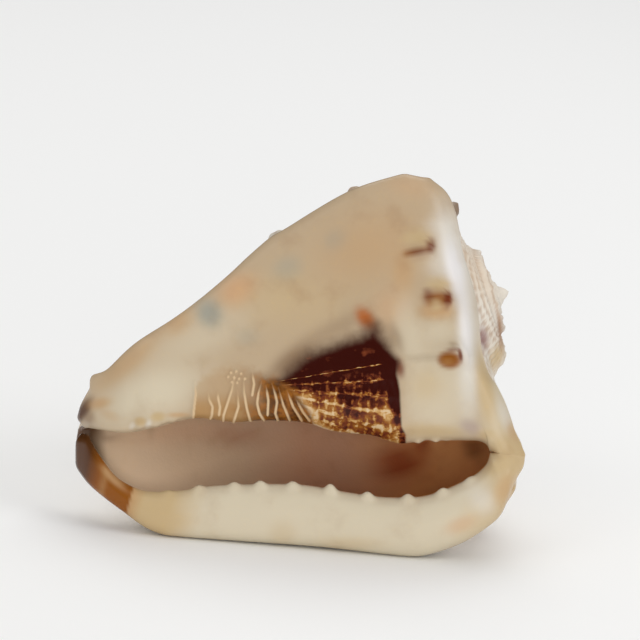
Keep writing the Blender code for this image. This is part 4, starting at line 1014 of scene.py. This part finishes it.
def shell_mesh(sizes, colours):
    """The whole shell as one closed skin, with the material's numbers kept at its points."""
    (shape, outer), (hollow, inner) = shell_layers(sizes, colours)
    mesh = bpy.data.meshes.new("shell_body")
    corners = np.concatenate((cells(shape.shape, 0), cells(hollow.shape, shape.size // 3)))
    mesh.from_pydata(np.concatenate((shape.reshape(-1, 3), hollow.reshape(-1, 3))) * MM, [], corners)
    for name, values in outer.items():
        both = np.concatenate((values.reshape(-1, 3), inner[name].reshape(-1, 3)))
        layer = mesh.attributes.new(name, "FLOAT_VECTOR", "POINT")
        layer.data.foreach_set("vector", both.ravel())
    bm = bmesh.new()
    bm.from_mesh(mesh)
    bmesh.ops.remove_doubles(bm, verts=bm.verts, dist=WELD)
    bmesh.ops.dissolve_degenerate(bm, edges=bm.edges, dist=WELD / 2)
    gaps = [edge for edge in bm.edges if edge.is_boundary]
    ends = bmesh.ops.holes_fill(bm, edges=gaps, sides=0)["faces"]
    bmesh.ops.triangulate(bm, faces=ends)
    bmesh.ops.recalc_face_normals(bm, faces=bm.faces)
    bm.to_mesh(mesh)
    bm.free()
    mesh.shade_smooth()
    return mesh


def laid_down(mesh, lowest, highest):
    """Leans the shell as the solid lies, flattens it where it rests, and says where the form's zero went."""
    mesh.transform(Matrix.Rotation(LEAN, 4, "X") @ Matrix.Rotation(ROLL, 4, "Y"))
    points = np.empty(len(mesh.vertices) * 3, np.float32)
    mesh.vertices.foreach_get("co", points)
    points = points.reshape(-1, 3)
    shift = (np.array(lowest) + highest) / 2 - (points.min(axis=0) + points.max(axis=0)) / 2
    shift[2] = highest[2] - points[:, 2].max()
    points += shift
    points[:, 2] = np.maximum(points[:, 2], lowest[2])
    mesh.vertices.foreach_set("co", points.ravel())
    mesh.update()
    return shift


class Brush:
    """Adds the nodes of one material, each fed by plain numbers or by other nodes' outputs."""

    def __init__(self, material):
        material.use_nodes = True
        self.nodes = material.node_tree.nodes
        self.links = material.node_tree.links
        self.shader = self.nodes["Principled BSDF"]

    def feed(self, socket, value):
        if isinstance(value, bpy.types.NodeSocket):
            self.links.new(value, socket)
        else:
            socket.default_value = value

    def add(self, kind, fed, output=0, **settings):
        node = self.nodes.new(kind)
        for name, value in settings.items():
            setattr(node, name, value)
        for socket, value in fed.items():
            self.feed(node.inputs[socket], value)
        return node.outputs[output]

    def kept(self, name):
        """What is kept at the points under a name."""
        return self.add("ShaderNodeAttribute", {}, "Vector", attribute_name=name)

    def parts(self, whole):
        """The three numbers of a vector."""
        return self.add("ShaderNodeSeparateXYZ", {0: whole}).node.outputs

    def pair(self, first, second):
        """A vector of two numbers."""
        return self.add("ShaderNodeCombineXYZ", {0: first, 1: second})

    def reckon(self, operation, first, second=0.0, clamp=False):
        return self.add("ShaderNodeMath", {0: first, 1: second}, operation=operation, use_clamp=clamp)

    def plus(self, first, *others):
        for other in others:
            first = self.reckon("ADD", first, other)
        return first

    def minus(self, first, second):
        return self.reckon("SUBTRACT", first, second)

    def times(self, first, second):
        return self.reckon("MULTIPLY", first, second)

    def most(self, first, second):
        """The higher of two numbers."""
        return self.reckon("MAXIMUM", first, second)

    def between(self, value, low, high, first=0.0, last=1.0):
        """first where the value is at or below low, last at or above high, and smooth between."""
        return self.add("ShaderNodeMapRange", {"Value": value, "From Min": low, "From Max": high,
                                               "To Min": first, "To Max": last},
                        interpolation_type="SMOOTHSTEP")

    def blended(self, low, high, share):
        """A number between two others."""
        return self.add("ShaderNodeMapRange", {"Value": share, "To Min": low, "To Max": high})

    def noise(self, where, scale, detail=3.0, roughness=0.5):
        return self.add("ShaderNodeTexNoise", {"Vector": where, "Scale": scale, "Detail": detail,
                                               "Roughness": roughness}, "Fac")

    def mixed(self, under, over, share, blend="MIX"):
        colours = {6: self.colour(under), 7: self.colour(over)}
        return self.add("ShaderNodeMix", {0: share, **colours}, 2, data_type="RGBA", blend_type=blend)

    def colour(self, value):
        return value if isinstance(value, bpy.types.NodeSocket) else (*value, 1.0)

    def ramp(self, value, stops):
        """Colours along a number from 0 to 1."""
        node = self.add("ShaderNodeValToRGB", {0: value}).node
        elements = node.color_ramp.elements
        elements[1].position = 1.0
        for at, _ in stops[1:-1]:
            elements.new(at)
        for element, (_, colour) in zip(elements, stops):
            element.color = (*colour, 1.0)
        return node.outputs[0]

    def lines(self, value, spacing, width):
        """1 along the middle of evenly spaced lines and 0 between them, for a width of 0 to 2."""
        wave = self.reckon("COSINE", self.times(value, 2 * math.pi / spacing))
        return self.between(wave, self.minus(1.0, width), 1.0)


class ShellGlaze(Brush):
    """The shell's one material: soft glaze, crisp marks beside the mouth, lip bands and a chalky back."""

    def __init__(self, tints):
        self.material = bpy.data.materials.new("shell_glaze")
        super().__init__(self.material)
        self.tints = tints
        grown = self.kept("grown")
        self.x, _, self.z = self.parts(grown)
        self.front, self.spire, self.hollow = self.parts(self.kept("zones"))
        self.patch, self.fan, self.net = self.parts(self.kept("marks"))
        self.section, self.place, self.crest = self.parts(self.kept("drawn"))
        self.not_back = self.reckon("ADD", self.front, self.spire, clamp=True)
        self.cloud, self.fleck, self.grain = (self.noise(grown, *kind) for kind in (CLOUD, FLECK, GRAIN))
        self.wobble = self.minus(self.noise(grown, *WOBBLE), 0.5)

    def wavering(self, value, amount):
        """A value whose edges waver, so that a mark ends unevenly."""
        return self.plus(value, self.times(self.wobble, amount))

    def soft_colours(self):
        """The soft colours that are kept at the points, with faint clouds and flecks."""
        cloudy = self.mixed(self.kept("glaze"), self.tints.warm_tan,
                            self.between(self.cloud, 0.5, 0.8, last=0.22), "MULTIPLY")
        return self.mixed(cloudy, self.tints.cream, self.between(self.fleck, 0.5, 0.8, last=0.25),
                          "SOFT_LIGHT")

    def back(self):
        """The back's tan clouds, the wavy flames across it, and the darker grooves between its cords."""
        tints = self.tints
        waves = self.pair(self.times(self.section, 0.05), self.times(self.place, 0.55))
        flames = self.between(self.noise(waves, 1.6, 4.0, 0.55), 0.47, 0.66, last=0.75)
        grooves = self.between(self.crest, -0.6, -0.05, last=0.35)
        back = self.mixed(tints.chalk, tints.tan, self.between(self.cloud, 0.42, 0.62, last=0.55))
        back = self.mixed(back, tints.flame, flames)
        back = self.mixed(back, tints.flame, grooves)
        return self.mixed(back, tints.cream, self.between(self.fleck, 0.5, 0.7, last=0.4))

    def net_strokes(self, break_up):
        """The net's broken upright strokes and rows, stronger from its first row down."""
        leaning = self.plus(self.x, self.times(self.z, -NET_LEAN))
        upright = self.lines(self.wavering(leaning, 3.2), NET_UPRIGHTS, 1.0)
        upright = self.times(upright, self.between(self.fleck, 0.4, 0.56, last=0.34))
        row = self.lines(self.wavering(self.net, 0.7), 1.0, 0.8)
        row = self.times(row, self.between(break_up, 0.36, 0.54, last=0.46))
        return self.times(self.plus(upright, row), self.between(self.net, 0.1, 0.9))

    def net_hairs(self, break_up):
        """The thin lines along the net's rows, that reach up past its first row."""
        thin = self.lines(self.wavering(self.net, 0.3), 1.0, 0.05)
        thin = self.times(thin, self.between(self.net, -0.4, -0.1))
        return self.times(thin, self.between(break_up, 0.42, 0.6, 0.2, 0.85))

    def paleness(self):
        """How pale the dark patch is: its net widens and runs together to gold towards the mouth."""
        break_up = self.noise(self.pair(self.times(self.x, 0.5), self.z), 0.6, 2.0)
        blotch = self.noise(self.pair(self.times(self.x, 0.7), self.z), 0.22, 3.0)
        from_spot = self.plus(*(self.reckon("POWER", self.reckon("ABSOLUTE", self.minus(value, at)), 2.0)
                                for value, at in zip((self.x, self.z), PALE_SPOT)))
        worn = self.times(self.between(self.patch, 2.0, 9.0, 0.5, 0.0), self.between(self.net, 1.5, 3.0))
        pale = self.plus(self.net_strokes(break_up), self.between(self.net, 0.2, 4.4, -0.2, 0.36),
                         self.between(from_spot, 2.0, PALE_SPOT[2] ** 2, 0.3, 0.0), worn,
                         self.times(self.minus(blotch, 0.5), 1.7))
        pale = self.most(self.wavering(pale, 0.8), self.net_hairs(break_up))
        far_side = self.between(self.plus(self.x, self.times(self.z, 0.25)), 117.0, 120.0)
        return self.minus(pale, far_side)

    def with_patch(self, body):
        """The dark patch over the rest, from maroon through gold to the palest strokes."""
        tints = self.tints
        dark = self.ramp(self.paleness(), ((0.0, tints.maroon), (0.28, tints.garnet), (0.5, tints.amber),
                                           (0.75, tints.gold), (1.0, tints.ridge)))
        return self.mixed(body, dark, self.between(self.wavering(self.patch, 0.6), -1.3, 1.3))

    def with_fan(self, body):
        """The ridged fan beside the patch: faint above, and dark between its ridges where they meet."""
        tints = self.tints
        dark = self.mixed(tints.bark, tints.amber, self.between(self.wobble, -0.2, 0.2))
        tone = self.mixed(tints.fan, dark, self.between(self.wavering(self.x, 16.0), 54.0, 74.0))
        full = self.most(self.between(self.x, 58.0, 72.0), self.between(self.z, 15.0, 7.0, 0.4, 1.0))
        body = self.mixed(body, tone, self.times(self.between(self.wavering(self.fan, 2.0), -1.2, 1.2), full))
        crest_tone = self.mixed(tints.ridge, tints.warm_tan, self.between(self.x, 70.0, 92.0))
        return self.mixed(body, crest_tone, self.between(self.crest, 0.2, 0.9))

    def painted(self):
        """The material, with its colours, its gloss, and the pores of the back."""
        body = self.mixed(self.back(), self.soft_colours(), self.most(self.not_back, self.hollow))
        body = self.with_fan(self.with_patch(body))
        glossy = self.plus(self.most(self.front, self.hollow), self.times(self.grain, 0.06))
        pores = self.times(self.minus(1.0, self.not_back), self.fleck)
        height = self.plus(self.times(self.grain, 0.15), pores)
        fed = {"Base Color": body,
               "Roughness": self.blended(self.tints.back_gloss, self.tints.face_gloss, glossy),
               "Specular IOR Level": MIRRORING,
               "Normal": self.add("ShaderNodeBump", {"Strength": PORES[0], "Distance": PORES[1],
                                                     "Height": height})}
        for socket, value in fed.items():
            self.feed(self.shader.inputs[socket], value)
        return self.material


class HELMET_OT_shell(Operator):
    """Make the shell, glazed, in place of its plain solid"""

    bl_idname = "helmet.shell"
    bl_label = "Make the shell"

    def execute(self, context):
        scene = context.scene
        mesh = shell_mesh(scene.shell_sizes, scene.shell_colours)
        shift = laid_down(mesh, *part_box("helmet_shell"))
        triangles = sum(len(face.vertices) - 2 for face in mesh.polygons)
        if triangles > MOST_TRIANGLES:
            raise RuntimeError(f"the shell has {triangles} triangles: lower its rows")
        mesh.materials.append(ShellGlaze(scene.shell_colours).painted())
        shell = bpy.data.objects.new("shell_body", mesh)
        scene.collection.objects.link(shell)
        shell["zero"] = [float(v) for v in shift]
        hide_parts("helmet_shell")
        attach(shell, "root")
        return {"FINISHED"}


def soft_light(name, where, towards, size, watts, tint, shines):
    """A square area light that faces a point, and shows in the glaze only if it shines."""
    data = bpy.data.lights.new(name, "AREA")
    data.size, data.energy, data.color = size, watts, tint
    light = bpy.data.objects.new(name, data)
    light.location = where
    light.visible_glossy = shines
    light.rotation_euler = (Vector(towards) - Vector(where)).to_track_quat("-Z", "Y").to_euler()
    bpy.context.scene.collection.objects.link(light)


class HELMET_OT_stage(Operator):
    """Make the floor, the lights and the camera"""

    bl_idname = "helmet.stage"
    bl_label = "Make the stage"

    def execute(self, context):
        scene, settings = context.scene, context.scene.shell_stage
        zero = scene.objects["shell_body"]["zero"]
        mesh = bpy.data.meshes.new("floor")
        half = settings.floor_size / 2
        mesh.from_pydata([(-half, -half, 0), (half, -half, 0), (half, half, 0), (-half, half, 0)], [],
                         [(0, 1, 2, 3)])
        paint = bpy.data.materials.new("floor_paint")
        paint.use_nodes = True
        sockets = paint.node_tree.nodes["Principled BSDF"].inputs
        sockets["Base Color"].default_value = (*settings.floor_colour, 1.0)
        sockets["Roughness"].default_value = FLOOR_ROUGHNESS
        mesh.materials.append(paint)
        floor = bpy.data.objects.new("floor", mesh)
        scene.collection.objects.link(floor)

        for name, where, size, watts, tint, shines in LIGHTS:
            soft_light(name, where, LIGHT_AIM, size, watts * settings.light, tint, shines)
        world = bpy.data.worlds.new("pale_room")
        world.use_nodes = True
        sky = world.node_tree.nodes["Background"].inputs
        sky["Color"].default_value = (1.0, 1.0, 1.0, 1.0)
        sky["Strength"].default_value = ROOM_LIGHT * settings.light
        world.cycles_visibility.glossy = False
        scene.world = world
        scene.view_settings.view_transform = "Standard"

        data = bpy.data.cameras.new("camera")
        data.lens = data.sensor_width * settings.distance / settings.seen_width
        camera = bpy.data.objects.new("camera", data)
        camera.matrix_world = (
            Matrix.Translation(zero) @ Matrix.Rotation(LEAN, 4, "X") @ Matrix.Rotation(ROLL, 4, "Y")
            @ Matrix.Translation((VIEW_CENTRE[0] * MM, -settings.distance, VIEW_CENTRE[1] * MM))
            @ Matrix.Rotation(math.radians(90), 4, "X"))
        scene.collection.objects.link(camera)
        scene.camera = camera
        return {"FINISHED"}


class HELMET_PT_shell(Panel):
    """The shell and its stage, with their sizes and colours"""

    bl_label = "Helmet shell"
    bl_idname = "HELMET_PT_shell"
    bl_space_type = "VIEW_3D"
    bl_region_type = "UI"
    bl_category = "Shell"

    def draw(self, context):
        for operator, group in ((HELMET_OT_shell, "shell_sizes"), (None, "shell_colours"),
                                (HELMET_OT_stage, "shell_stage")):
            box = self.layout.box()
            settings = getattr(context.scene, group)
            for name in settings.__annotations__:
                box.prop(settings, name)
            if operator:
                box.operator(operator.bl_idname)


CLASSES = (ShellSizes, ShellColours, StageSettings, HELMET_OT_shell, HELMET_OT_stage, HELMET_PT_shell)


def register():
    for kind in CLASSES:
        bpy.utils.register_class(kind)
    bpy.types.Scene.shell_sizes = PointerProperty(type=ShellSizes)
    bpy.types.Scene.shell_colours = PointerProperty(type=ShellColours)
    bpy.types.Scene.shell_stage = PointerProperty(type=StageSettings)


def unregister():
    for name in ("shell_sizes", "shell_colours", "shell_stage"):
        delattr(bpy.types.Scene, name)
    for kind in reversed(CLASSES):
        bpy.utils.unregister_class(kind)


def main():
    register()
    bpy.ops.helmet.shell()
    bpy.ops.helmet.stage()


if __name__ == "__main__":
    main()
